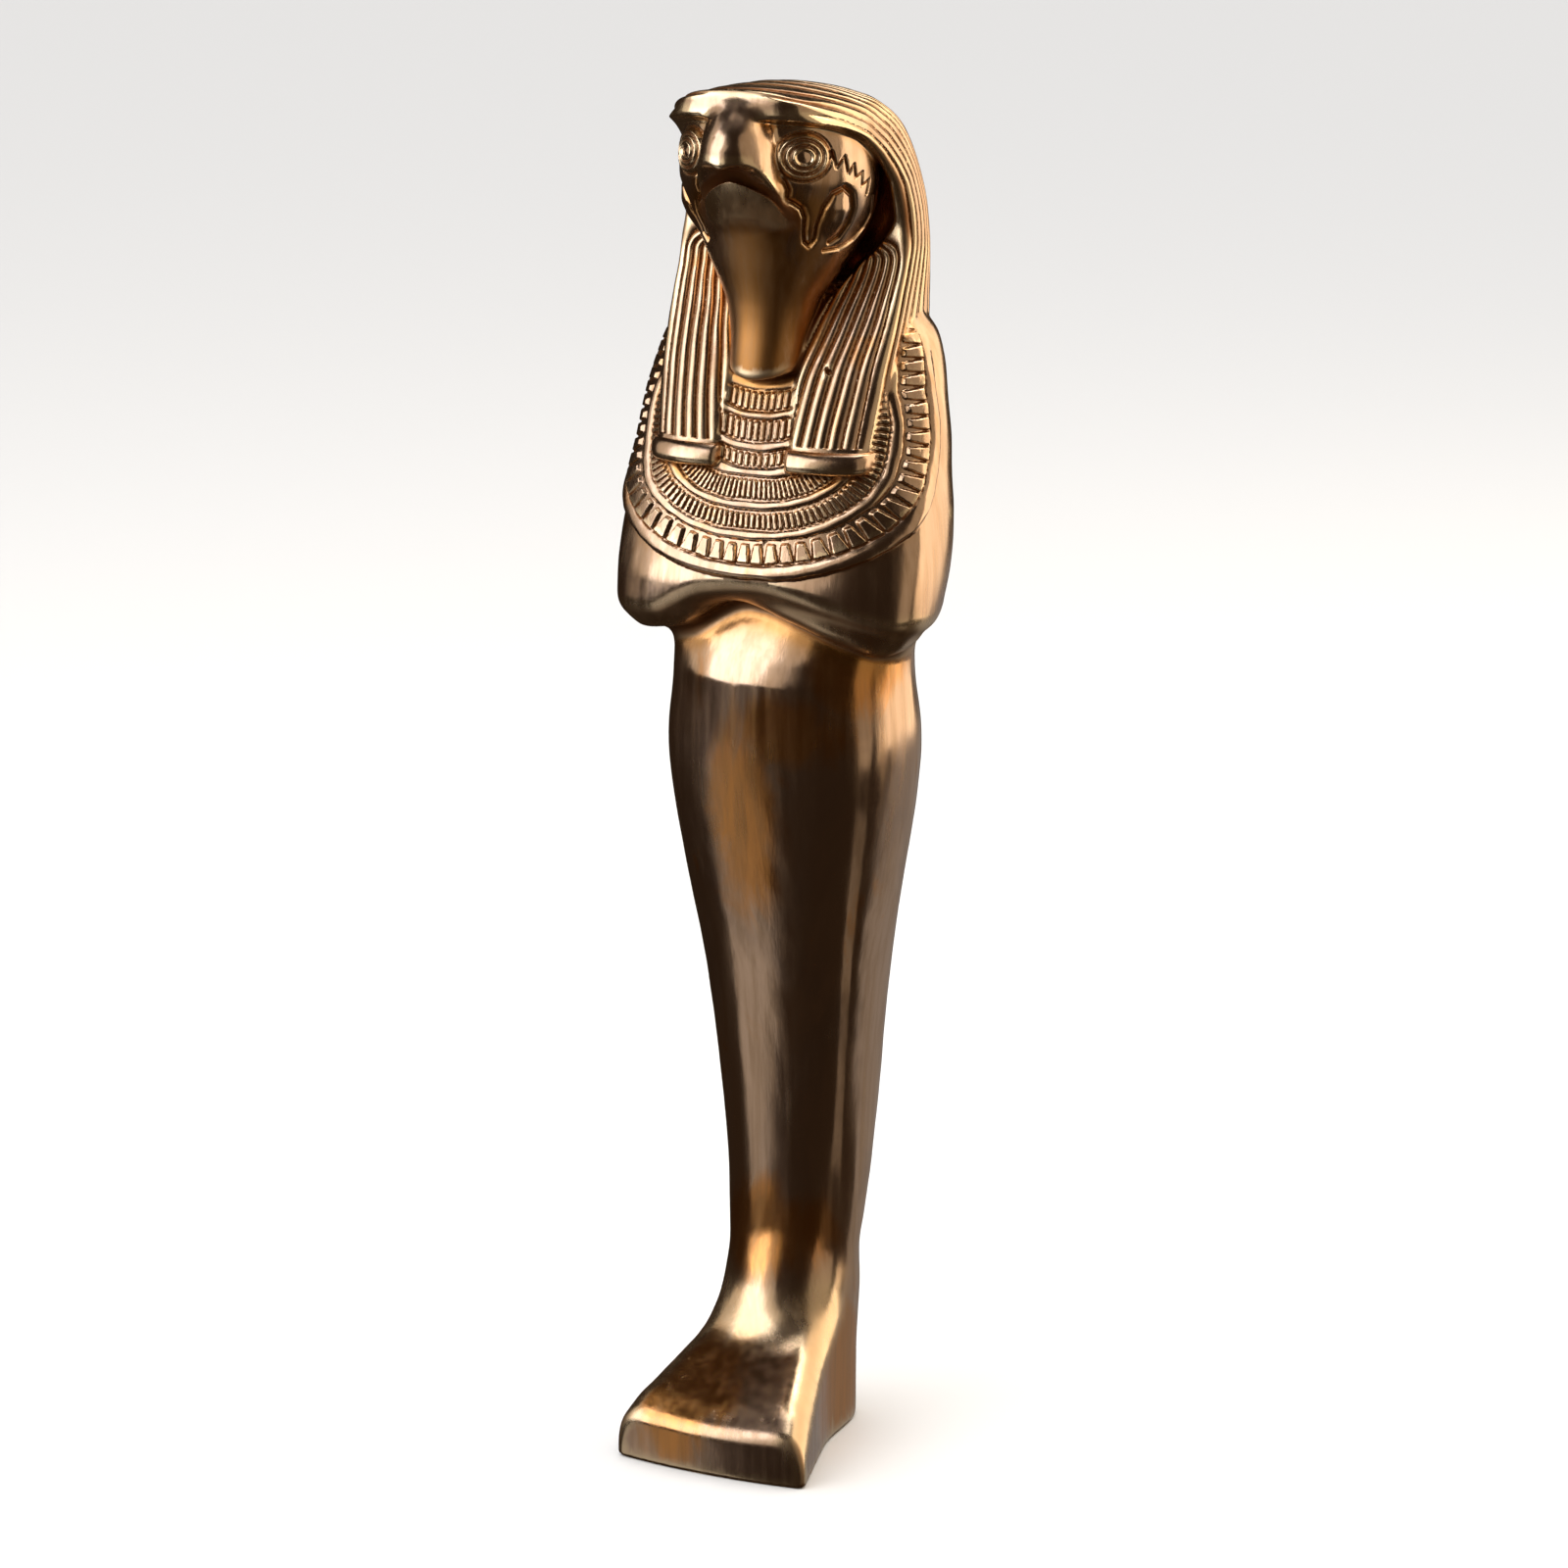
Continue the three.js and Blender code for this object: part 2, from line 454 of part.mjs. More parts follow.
// Fewer triangles by collapsing the edge whose loss moves the surface least, again and again
function thin(mesh, target) {
  const p = mesh.points
  const tri = mesh.faces
  const vertices = p.length / 3
  let left = tri.length / 3
  const quad = new Float64Array(vertices * 10)
  const around = Array.from({ length: vertices }, () => [])
  const alive = new Uint8Array(left).fill(1)
  const stamp = new Int32Array(vertices)
  const normal = (a, b, c, out) => {
    const ux = p[b * 3] - p[a * 3]
    const uy = p[b * 3 + 1] - p[a * 3 + 1]
    const uz = p[b * 3 + 2] - p[a * 3 + 2]
    const vx = p[c * 3] - p[a * 3]
    const vy = p[c * 3 + 1] - p[a * 3 + 1]
    const vz = p[c * 3 + 2] - p[a * 3 + 2]
    out[0] = uy * vz - uz * vy
    out[1] = uz * vx - ux * vz
    out[2] = ux * vy - uy * vx
    return Math.hypot(out[0], out[1], out[2])
  }
  const length = (a, b) =>
    Math.hypot(p[a * 3] - p[b * 3], p[a * 3 + 1] - p[b * 3 + 1], p[a * 3 + 2] - p[b * 3 + 2])
  const m = [0, 0, 0]
  for (let t = 0; t < left; t++) {
    const size = normal(tri[t * 3], tri[t * 3 + 1], tri[t * 3 + 2], m)
    if (size > 0) {
      const care = p[tri[t * 3] * 3 + 2] > 350 * S ? 4 : 1
      const nx = m[0] / size
      const ny = m[1] / size
      const nz = m[2] / size
      const a = tri[t * 3]
      const d = -(nx * p[a * 3] + ny * p[a * 3 + 1] + nz * p[a * 3 + 2])
      const terms = [nx * nx, nx * ny, nx * nz, nx * d, ny * ny, ny * nz, ny * d, nz * nz, nz * d, d * d]
      for (let c = 0; c < 3; c++) {
        const at = tri[t * 3 + c] * 10
        for (let i = 0; i < 10; i++) quad[at + i] += terms[i] * size * care
      }
    }
    for (let c = 0; c < 3; c++) around[tri[t * 3 + c]].push(t)
  }
  let cap = 1 << 20
  let cost = new Float64Array(cap)
  let item = new Int32Array(cap * 4)
  let filled = 0
  const swap = (i, j) => {
    const c = cost[i]
    cost[i] = cost[j]
    cost[j] = c
    for (let k = 0; k < 4; k++) {
      const v = item[i * 4 + k]
      item[i * 4 + k] = item[j * 4 + k]
      item[j * 4 + k] = v
    }
  }
  const push = (value, a, b) => {
    if (filled === cap) {
      cap *= 2
      const moreCost = new Float64Array(cap)
      moreCost.set(cost)
      cost = moreCost
      const moreItem = new Int32Array(cap * 4)
      moreItem.set(item)
      item = moreItem
    }
    let i = filled++
    cost[i] = value
    item[i * 4] = a
    item[i * 4 + 1] = b
    item[i * 4 + 2] = stamp[a]
    item[i * 4 + 3] = stamp[b]
    while (i > 0) {
      const up = (i - 1) >> 1
      if (cost[up] <= cost[i]) break
      swap(up, i)
      i = up
    }
  }
  const pop = () => {
    filled--
    swap(0, filled)
    let i = 0
    for (;;) {
      const l = 2 * i + 1
      if (l >= filled) break
      const r = l + 1
      const low = r < filled && cost[r] < cost[l] ? r : l
      if (cost[i] <= cost[low]) break
      swap(i, low)
      i = low
    }
    return filled
  }
  const q = new Float64Array(10)
  const best = [0, 0, 0]
  const errorAt = (x, y, z) =>
    q[0] * x * x + 2 * q[1] * x * y + 2 * q[2] * x * z + 2 * q[3] * x + q[4] * y * y +
    2 * q[5] * y * z + 2 * q[6] * y + q[7] * z * z + 2 * q[8] * z + q[9]
  const place = (a, b) => {
    for (let i = 0; i < 10; i++) q[i] = quad[a * 10 + i] + quad[b * 10 + i]
    const det = q[0] * (q[4] * q[7] - q[5] * q[5]) - q[1] * (q[1] * q[7] - q[5] * q[2]) +
      q[2] * (q[1] * q[5] - q[4] * q[2])
    const mx = (p[a * 3] + p[b * 3]) / 2
    const my = (p[a * 3 + 1] + p[b * 3 + 1]) / 2
    const mz = (p[a * 3 + 2] + p[b * 3 + 2]) / 2
    const span = Math.hypot(p[a * 3] - mx, p[a * 3 + 1] - my, p[a * 3 + 2] - mz)
    const trace = q[0] + q[4] + q[7]
    let error = Infinity
    if (Math.abs(det) > 1e-6 * trace * trace * trace) {
      const bx = -q[3]
      const by = -q[6]
      const bz = -q[8]
      const x = (bx * (q[4] * q[7] - q[5] * q[5]) - q[1] * (by * q[7] - q[5] * bz) +
        q[2] * (by * q[5] - q[4] * bz)) / det
      const y = (q[0] * (by * q[7] - bz * q[5]) - bx * (q[1] * q[7] - q[5] * q[2]) +
        q[2] * (q[1] * bz - by * q[2])) / det
      const z = (q[0] * (q[4] * bz - q[5] * by) - q[1] * (q[1] * bz - by * q[2]) +
        bx * (q[1] * q[5] - q[4] * q[2])) / det
      if (Math.hypot(x - mx, y - my, z - mz) < span * 2.5) {
        best[0] = x
        best[1] = y
        best[2] = z
        error = errorAt(x, y, z)
      }
    }
    if (error === Infinity) {
      for (const [x, y, z] of [
        [mx, my, mz], [p[a * 3], p[a * 3 + 1], p[a * 3 + 2]], [p[b * 3], p[b * 3 + 1], p[b * 3 + 2]],
      ]) {
        const e = errorAt(x, y, z)
        if (e < error) {
          error = e
          best[0] = x
          best[1] = y
          best[2] = z
        }
      }
    }
    return Math.max(error, 0) + 1e-6 * span * span
  }
  const neighbours = (v) => {
    const found = new Set()
    for (const t of around[v]) {
      for (let c = 0; c < 3; c++) if (tri[t * 3 + c] !== v) found.add(tri[t * 3 + c])
    }
    return found
  }
  for (let v = 0; v < vertices; v++) for (const o of neighbours(v)) if (o > v) push(place(v, o), v, o)
  const before = [0, 0, 0]
  const after = [0, 0, 0]
  const flips = (v, other) => {
    for (const t of around[v]) {
      const c = [tri[t * 3], tri[t * 3 + 1], tri[t * 3 + 2]]
      if (c.includes(other)) continue
      const was = normal(c[0], c[1], c[2], before)
      const keep = [p[v * 3], p[v * 3 + 1], p[v * 3 + 2]]
      p[v * 3] = best[0]
      p[v * 3 + 1] = best[1]
      p[v * 3 + 2] = best[2]
      const now = normal(c[0], c[1], c[2], after)
      const longest = Math.max(length(c[0], c[1]), length(c[1], c[2]), length(c[2], c[0]))
      p[v * 3] = keep[0]
      p[v * 3 + 1] = keep[1]
      p[v * 3 + 2] = keep[2]
      const dot = before[0] * after[0] + before[1] * after[1] + before[2] * after[2]
      if (dot < 0.25 * was * now || now < 0.02 * longest * longest) return true
    }
    return false
  }
  while (left > target && filled > 0) {
    const at = pop()
    const a = item[at * 4]
    const b = item[at * 4 + 1]
    if (stamp[a] !== item[at * 4 + 2] || stamp[b] !== item[at * 4 + 3]) continue
    const na = neighbours(a)
    const nb = neighbours(b)
    let shared = 0
    for (const v of na) if (nb.has(v)) shared++
    if (shared !== 2) continue
    place(a, b)
    if (flips(a, b) || flips(b, a)) continue
    p[a * 3] = best[0]
    p[a * 3 + 1] = best[1]
    p[a * 3 + 2] = best[2]
    for (let i = 0; i < 10; i++) quad[a * 10 + i] += quad[b * 10 + i]
    const kept = []
    for (const t of around[a]) {
      if (tri[t * 3] === b || tri[t * 3 + 1] === b || tri[t * 3 + 2] === b) {
        alive[t] = 0
        left--
      } else kept.push(t)
    }
    for (const t of around[b]) {
      if (!alive[t]) continue
      for (let c = 0; c < 3; c++) if (tri[t * 3 + c] === b) tri[t * 3 + c] = a
      kept.push(t)
    }
    around[a] = kept
    around[b] = []
    stamp[b] = -1
    stamp[a]++
    for (const v of neighbours(a)) {
      around[v] = around[v].filter((t) => alive[t])
      push(place(a, v), a, v)
    }
  }
  const number = new Int32Array(vertices).fill(-1)
  const points = []
  const faces = []
  for (let t = 0; t < alive.length; t++) {
    if (!alive[t]) continue
    for (let c = 0; c < 3; c++) {
      const v = tri[t * 3 + c]
      if (number[v] < 0) {
        number[v] = points.length / 3
        points.push(p[v * 3], p[v * 3 + 1], p[v * 3 + 2])
      }
      faces.push(number[v])
    }
  }
  return { points, faces }
}

// The cast body, levelled on its underside and centred over it
const soled = (x, y, z) => softMax(field(x / S, y / S, z / S) * S, -(z + 0.3), SOLE_EDGE * 2)
const widest = Math.max(ELBOW_HALF_WIDTH, SHOULDER_HALF_WIDTH, THIGH_HALF_WIDTH, WIG_HALF_WIDTH)
const low = [-(widest + 5) * S, -(Math.max(TOE_REACH, BEAK_REACH) + 3) * S, -4 * S]
const high = [(widest + 5) * S, (WIG_BACK + 10) * S, HEIGHT + 6 * S]
const rough = surface(soled, low, high, CELL)
const light = thin(rough, TRIANGLE_TARGET)

const wasm = await Module()
wasm.setup()
const body = new wasm.Manifold(new wasm.Mesh({
  numProp: 3,
  vertProperties: Float32Array.from(light.points),
  triVerts: Uint32Array.from(light.faces),
}))
const stood = body.trimByPlane([0, 0, 1], 0)
const cut = stood.getMesh()
const geometry = new THREE.BufferGeometry()
geometry.setAttribute('position', new THREE.BufferAttribute(Float32Array.from(cut.vertProperties), 3))
geometry.setIndex(new THREE.BufferAttribute(Uint32Array.from(cut.triVerts), 1))
geometry.computeBoundingBox()
const box = geometry.boundingBox
const fit = HEIGHT / (box.max.z - box.min.z)
geometry.translate(-(box.min.x + box.max.x) / 2, -(box.min.y + box.max.y) / 2, -box.min.z)
geometry.scale(fit, fit, fit)
geometry.computeVertexNormals()

const bronze = new THREE.MeshStandardMaterial({ color: 0x9a6a3c, roughness: 0.32, metalness: 1 })
const figure = new THREE.Mesh(geometry, bronze)
figure.name = 'falcon_figure'

const group = new THREE.Group()
group.name = 'falcon_headed_figure'
group.add(figure)

export default group
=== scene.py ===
import json
import math

import bpy
import numpy as np
import openvdb
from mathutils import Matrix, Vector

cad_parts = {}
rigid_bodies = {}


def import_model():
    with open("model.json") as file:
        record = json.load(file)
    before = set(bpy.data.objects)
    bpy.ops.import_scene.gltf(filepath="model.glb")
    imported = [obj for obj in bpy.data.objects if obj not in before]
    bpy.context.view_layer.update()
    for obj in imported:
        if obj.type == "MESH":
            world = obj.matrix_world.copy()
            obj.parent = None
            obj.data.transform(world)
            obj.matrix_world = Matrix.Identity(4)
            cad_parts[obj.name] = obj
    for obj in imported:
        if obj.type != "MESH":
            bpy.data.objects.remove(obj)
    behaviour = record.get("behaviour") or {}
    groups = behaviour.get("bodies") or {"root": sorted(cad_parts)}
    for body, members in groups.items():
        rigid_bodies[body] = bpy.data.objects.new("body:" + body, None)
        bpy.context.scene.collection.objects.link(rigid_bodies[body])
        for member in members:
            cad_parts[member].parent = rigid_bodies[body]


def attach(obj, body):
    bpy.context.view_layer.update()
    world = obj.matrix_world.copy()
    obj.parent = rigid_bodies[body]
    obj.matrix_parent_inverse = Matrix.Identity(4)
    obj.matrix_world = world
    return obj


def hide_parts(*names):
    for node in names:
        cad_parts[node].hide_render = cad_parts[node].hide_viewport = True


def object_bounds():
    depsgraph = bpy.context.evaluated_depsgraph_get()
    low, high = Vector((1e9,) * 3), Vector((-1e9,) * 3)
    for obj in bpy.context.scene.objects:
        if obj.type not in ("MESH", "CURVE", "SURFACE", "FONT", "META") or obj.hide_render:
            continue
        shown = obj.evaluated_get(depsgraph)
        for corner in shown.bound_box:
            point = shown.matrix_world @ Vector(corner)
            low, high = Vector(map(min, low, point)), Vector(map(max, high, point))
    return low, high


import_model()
cad_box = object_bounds()
bpy.ops.object.select_all(action="DESELECT")

# The legs and the foot block, the lower half of the figure. The whole figure is one hollow bronze casting
# with walls of about 5 mm, cast from a carved model and polished, and it stands by its own weight. Each form
# is written in millimetres as a field that is below zero inside the metal, so that forms can merge.


def ease(a, b, v):
    """Goes softly from 0 to 1 while v goes from a to b."""
    t = np.clip((v - a) / (b - a), 0, 1)
    return t * t * (3 - 2 * t)


def mix(a, b, t):
    return a + (b - a) * t


def soft_min(a, b, k):
    """Joins two forms and fills the crease between them over a width k."""
    h = np.maximum(k - np.abs(a - b), 0) / k
    return np.minimum(a, b) - h * h * k * 0.25


def soft_max(a, b, k):
    """Cuts one form off at another and rounds the edge between them over a width k."""
    return -soft_min(-a, -b, k)


def profile(*stations):
    """A smooth curve through stations of (height, value) that never overshoots them."""
    height, value = np.array(stations, float).T
    rise = np.diff(value) / np.diff(height)
    slope = np.zeros(len(value))
    both = rise[1:] * rise[:-1]
    total = np.where(both > 0, rise[1:] + rise[:-1], 1)
    slope[1:-1] = np.where(both > 0, 2 * both / total, 0)
    slope[0], slope[-1] = rise[0], rise[-1]
    at = np.linspace(height[0], height[-1], 401)
    i = np.clip(np.searchsorted(height, at, side="right") - 1, 0, len(height) - 2)
    w = height[i + 1] - height[i]
    t = (at - height[i]) / w
    curve = value[i] + t * t * (3 - 2 * t) * (value[i + 1] - value[i])
    curve += w * t * (1 - t) * ((1 - t) * slope[i] - t * slope[i + 1])
    return lambda z: np.interp(z, at, curve)


# Near the middle of an outline its size and its slope are kept above these, so that nothing divides by zero
LEAST_SIZE = 0.05
LEAST_SLOPE = 0.004


def oval(x, y, half, front, back, n_front, n_back):
    """Distance to an oval outline with its own front and back depth, round at n = 2 and squarer above it."""
    depth = np.where(y < 0, front, back)
    n = np.where(y < 0, n_front, n_back)
    qx = np.abs(x) / half
    qy = np.abs(y) / depth
    r = np.maximum((qx**n + qy**n) ** (1 / n), LEAST_SIZE)
    slope = np.hypot((qx / r) ** (n - 1) / half, (qy / r) ** (n - 1) / depth)
    return (r - 1) / np.maximum(slope, LEAST_SLOPE)


leg_half = profile((0, 18), (22, 18.4), (46, 20.4), (60, 23.2), (80, 25.8), (125, 28.4), (170, 32.6),
                   (215, 40), (245, 44.8), (270, 47), (292, 46), (330, 48))
leg_middle = profile((0, 0), (46, 0), (60, -1), (80, 2), (105, 5), (130, 6), (170, 4.6), (215, 1.8),
                     (270, 0.4), (330, -2))
leg_front = profile((0, 20), (46, 26), (60, 24.6), (80, 23.2), (125, 25.5), (170, 28), (215, 32), (268, 36.4),
                    (288, 35.8), (295, 33.8), (303, 29.6), (314, 23.4), (330, 15.8))
leg_back = profile((0, 18.5), (50, 17), (80, 19), (125, 22), (170, 25), (215, 29), (262, 34), (300, 31),
                   (330, 31))
LEGS_TOP = 330
THIGHS_SQUARER = 0.55
BELLY_ROUNDER = 0.5
# A soft fold of the wrapping runs down each side: its height, then where it lies, as an angle forwards from
# the side in radians, and how wide it spreads
FOLD_HEIGHT = 0.9
LEG_FOLD = (0.66, 0.17)


def fold(x, y, half, front, turn, spread):
    """Height of the wrapping's fold over the body."""
    at = np.arctan2(-y / front, np.abs(x) / half)
    return np.exp(-(((at - turn) / spread) ** 2)) * FOLD_HEIGHT


def legs(x, y, z):
    dy = y - leg_middle(z)
    square = 2 + THIGHS_SQUARER * ease(60, 150, z) - BELLY_ROUNDER * ease(245, 290, z)
    shell = oval(x, dy, leg_half(z), leg_front(z), leg_back(z), square, square)
    ridge = fold(x, dy, leg_half(z), leg_front(z), *LEG_FOLD) * ease(70, 150, z)
    return soft_max(shell - ridge, z - LEGS_TOP, 10)


TOE_HALF_WIDTH = 40.5
TOE_REACH = 73.5
TOE_HEIGHT = 17.5
# Behind the toes' edge the top first rises by this height over this length. The edge bows forwards by this
# much in the middle.
TOE_ROLL = (3, 14)
TOE_BOW = 3.5
HEEL_HALF_WIDTH = 14
HEEL_END = 21.5
FOOT_BACK = 8
# How curved the sides are, how fast the top climbs towards the ankle, and how far it falls to the sides
SIDES_CURVE = 1.12
INSTEP_CLIMB = 0.51
INSTEP_FALL = 2.5


def foot_block(x, y, z):
    """The block under the legs. A factor just below 1 keeps the distance to a slanting face about true."""
    ax = np.abs(x)
    along = y + TOE_REACH
    taper = np.clip(1 - along / (TOE_REACH + HEEL_END), 0, 1) ** SIDES_CURVE
    half = mix(HEEL_HALF_WIDTH, TOE_HALF_WIDTH, taper)
    front = TOE_BOW * (x / TOE_HALF_WIDTH) ** 2 - along
    roll, roll_end = TOE_ROLL
    top = z - TOE_HEIGHT - along * INSTEP_CLIMB - roll * ease(0, roll_end, along)
    top = top + INSTEP_FALL * (ax / half) ** 4
    d = soft_max((ax - half) * 0.98, top * 0.85, 12)
    d = soft_max(d, y - FOOT_BACK, 10)
    return soft_max(d, front, 3.8)


# The chest with the collar and the arms. The broad collar of bead rows is cast with the chest in low relief:
# half-round rings, rows of small bars and an outer row of drops that widen outwards. Below it the forearms
# cross under the wrapping, one over the other.

trunk_half = profile((300, 58.5), (317, 62), (334, 62.8), (350, 61.9), (367, 59.4), (384, 57.5), (398, 55.3),
                     (406, 53.4), (413, 51), (420, 45.4), (430, 32))
trunk_middle = profile((300, -19), (310, -17.5), (318, -14.5), (329, -10), (345, -5), (360, -1.5), (376, 2.5),
                       (391, 4.5), (405, 8), (430, 12))
trunk_front = profile((300, 22), (318, 27.4), (329, 31), (345, 32), (360, 33), (376, 32.5), (391, 30.5),
                      (405, 28), (430, 18))
trunk_back = profile((300, 49), (318, 48), (330, 46), (360, 40), (390, 33), (412, 26), (430, 16))
# The lower edges of the forearm in front and of the one behind it, from one elbow to the other
upper_roll = profile((-60, 306), (-40, 308), (-15, 318), (3, 320), (32, 314), (50, 309), (62, 306))
lower_roll = profile((-60, 301), (-30, 307.5), (-7, 318), (15, 312), (36, 304), (46, 301), (62, 303))
SHOULDER_TOP = 432
ELBOW_SQUARE = 2.5
SHOULDER_SQUARE = 2.2
BACK_SQUARE = 2.05
ARM_FOLD = (0.5, 0.16)
ARM_STEP = 3.4
ARM_ROUND = 10
ARM_CREASE = 1.5
# The line between the outer ring and the drops, spread flat: half width, depth below the neck and squareness.
# Every row of the collar runs beside it. A row says where it starts and ends, in millimetres outwards from
# the line, and rows of bars and drops also the pitch. The drops' second pitch holds beyond the front.
COLLAR_LINE = (60.5, 53, 2.45)
COLLAR_TOP = 395
COLLAR_RINGS = ((-26.6, -22.4), (-14.2, -10.9), (-3.7, -0.4), (8.1, 12.7))
COLLAR_BARS = ((-21.5, -15.1, 3.0), (-9.8, -4.6, 2.75))
COLLAR_EDGE = (12.4, 14)
DROPS = (0.9, 7.3, 5.8, 4.75)
DROP_WIDTHS = (0.5, 0.9)
DROPS_FRONT = 36
DROPS_SIDE = 200
# The short rows between the lappets run across, counted in millimetres down from the neck, and sag a little
# in the middle. They end towards the sides and downwards between these distances.
NECK_RINGS = ((-3.9, 0.7), (8, 10.8), (18.6, 21.9))
NECK_BARS = ((1.4, 7.3, 2.6), (11.4, 17.9, 2.6), (22.6, 26.8, 2.6))
NECK_SAG = 0.012
NECK_SIDE = (15, 17)
NECK_END = (27, 28.4)
# Heights of the relief: the collar's plate over the chest, and the rings, bars and drops over the plate
PLATE_HEIGHT = 1.5
RING_HEIGHT = 1.0
BEAD_HEIGHT = 0.9
DROP_HEIGHT = 1.2
# A place on the chest is spread flat by its angle round an upright axis at this depth, times this radius.
# Above its top the collar's rows draw in by this share of the height.
CHEST_AXIS = 2
CHEST_RADIUS = 48.2
SHOULDER_DRAW = 0.3
# The carver's hand wavers by this much, in waves of this length
WAVER = 0.25
WAVER_LENGTH = 9
slant = np.linspace(0, math.pi / 2, 91)
half, depth, squareness = COLLAR_LINE
line_reach = (np.sin(slant) / half) ** squareness + (np.cos(slant) / depth) ** squareness
line_reach = line_reach ** (-1 / squareness)
line_steps = np.hypot(np.diff(line_reach * np.sin(slant)), np.diff(line_reach * np.cos(slant)))
line_length = np.concatenate(([0], np.cumsum(line_steps)))


def ripple(x, y, z, size):
    """Slow hand-made unevenness, between about -1 and 1, with waves of about the given size."""
    f = 2 * math.pi / size
    return (
        np.sin(f * (0.81 * x + 0.35 * y + 0.47 * z) + 1.3)
        + np.sin(f * (-0.42 * x + 0.77 * y + 0.61 * z) * 1.17 + 4.1)
        + np.sin(f * (0.23 * x - 0.64 * y + 0.74 * z) * 0.83 + 2.2)
    ) / 3


def half_round(v, a, b):
    return np.sqrt(np.sin(math.pi * np.clip((v - a) / (b - a), 0, 1)) + 1e-9)


def bar_row(v, a, b, along, pitch, first=0.62, last=0.62):
    """A row of raised bars, whose width goes from the first share of the pitch to the last one."""
    inside = ease(a - 0.35, a + 0.35, v) * (1 - ease(b - 0.35, b + 0.35, v))
    away = np.abs((along / pitch) % 1 - 0.5) * 2
    width = mix(first, last, np.clip((v - a) / (b - a), 0, 1))
    return inside * (1 - ease(width - 0.17, width + 0.17, away))


def collar(x, y, z):
    """Height of the collar's relief over the plain chest."""
    ax = np.abs(x)
    down = COLLAR_TOP - z
    across = np.arctan2(ax, CHEST_AXIS - y) * CHEST_RADIUS + SHOULDER_DRAW * np.minimum(down, 0)
    across = np.maximum(across, 0)
    half, depth, n = COLLAR_LINE
    low = np.maximum(down, 0)
    qx, qz = across / half, low / depth
    r = np.maximum((qx**n + qz**n) ** (1 / n), LEAST_SIZE)
    gx, gz = (qx / r) ** (n - 1) / half, (qz / r) ** (n - 1) / depth
    slope = np.maximum(np.hypot(gx, gz), LEAST_SLOPE)
    waver = WAVER * ripple(x, y, z, WAVER_LENGTH)
    out = (r - 1) / slope + waver
    nearest = np.arctan2(across - out * gx / slope, np.maximum(low - out * gz / slope, 0))
    along = np.interp(nearest, slant, line_length) + np.maximum(-down, 0)
    height = PLATE_HEIGHT * (1 - ease(*COLLAR_EDGE, out))
    for a, b in COLLAR_RINGS:
        height = height + RING_HEIGHT * half_round(out, a, b)
    for a, b, pitch in COLLAR_BARS:
        height = height + BEAD_HEIGHT * bar_row(out, a, b, along + pitch / 2, pitch)
    a, b, pitch, side_pitch = DROPS
    front_drops = DROPS_FRONT / pitch
    all_drops = front_drops + DROPS_SIDE / side_pitch
    drop = np.interp(along, (0, DROPS_FRONT, DROPS_FRONT + DROPS_SIDE), (0, front_drops, all_drops)) + 0.5
    height = height + DROP_HEIGHT * bar_row(out, a, b, drop, 1, *DROP_WIDTHS)
    neck = PLATE_HEIGHT + np.zeros(x.shape)
    row = down + NECK_SAG * x * x + waver
    for a, b in NECK_RINGS:
        neck = neck + RING_HEIGHT * half_round(row, a, b)
    for a, b, pitch in NECK_BARS:
        neck = neck + BEAD_HEIGHT * bar_row(row, a, b, ax + pitch / 2, pitch)
    return mix(height, neck, (1 - ease(*NECK_SIDE, ax)) * (1 - ease(*NECK_END, row)))


def trunk(x, y, z):
    dy = y - trunk_middle(z)
    square = mix(ELBOW_SQUARE, SHOULDER_SQUARE, ease(340, 385, z))
    shell = oval(x, dy, trunk_half(z), trunk_front(z), trunk_back(z), square, BACK_SQUARE)
    ridge = fold(x, dy, trunk_half(z), trunk_front(z), *ARM_FOLD)
    shell = shell - ridge * ease(300, 330, z) * (1 - ease(380, 400, z))
    dressed = shell - collar(x, y, z) * ease(6, -4, y)
    front_arm = soft_max(dressed, (upper_roll(x) - z) * 0.9, ARM_ROUND)
    rear_arm = soft_max(shell + ARM_STEP, (lower_roll(x) - z) * 0.9, ARM_ROUND)
    return soft_max(soft_min(front_arm, rear_arm, ARM_CREASE), z - SHOULDER_TOP, 6)


# The wig: a long headcloth of polished bronze, cast with the head and cut in round reeds. It leaves the face
# free in front and falls on the chest in two lappets with a plain polished bar at the end of each.

wig_half = profile((360, 42.4), (385, 44.6), (420, 46.2), (440, 46.4), (456, 45.8), (470, 43.4), (483, 39.7),
                   (491, 36.2), (498, 32))
wig_back = profile((380, 41), (420, 44.5), (445, 44.2), (462, 41.4), (476, 36.4), (488, 28.6), (498, 19))
wig_front = profile((367, -37.5), (385, -32.8), (400, -27.2), (412, -20.5), (427, -11), (440, -4), (452, -1),
                    (466, -3), (471.5, -6), (478, -11), (484, -18.5), (489, -30), (492, -43.5), (493.2, -50),
                    (494.3, -51.4), (496, -50.6), (499.5, -47.2), (501.5, -46.6), (504, -46.8))
# The wig is cut off at its front, so its outline only has to reach past the cut
WIG_FRONT_DEPTH = 47
LAPPET_SQUARE = 4.2
HEAD_SQUARE = 2.5
CROWN_SQUARE = 3.6
WIG_BACK_SQUARE = 2.5
# Half width of the gap between the lappets, which opens upwards to take the face in
wig_gap = profile((367, 14.4), (400, 12.3), (414, 13.6), (424, 17), (437, 26), (446, 34), (456, 38.5),
                  (470, 37.5), (482, 34), (494, 28))
GAP_BACK = 8
GAP_TOP = 492
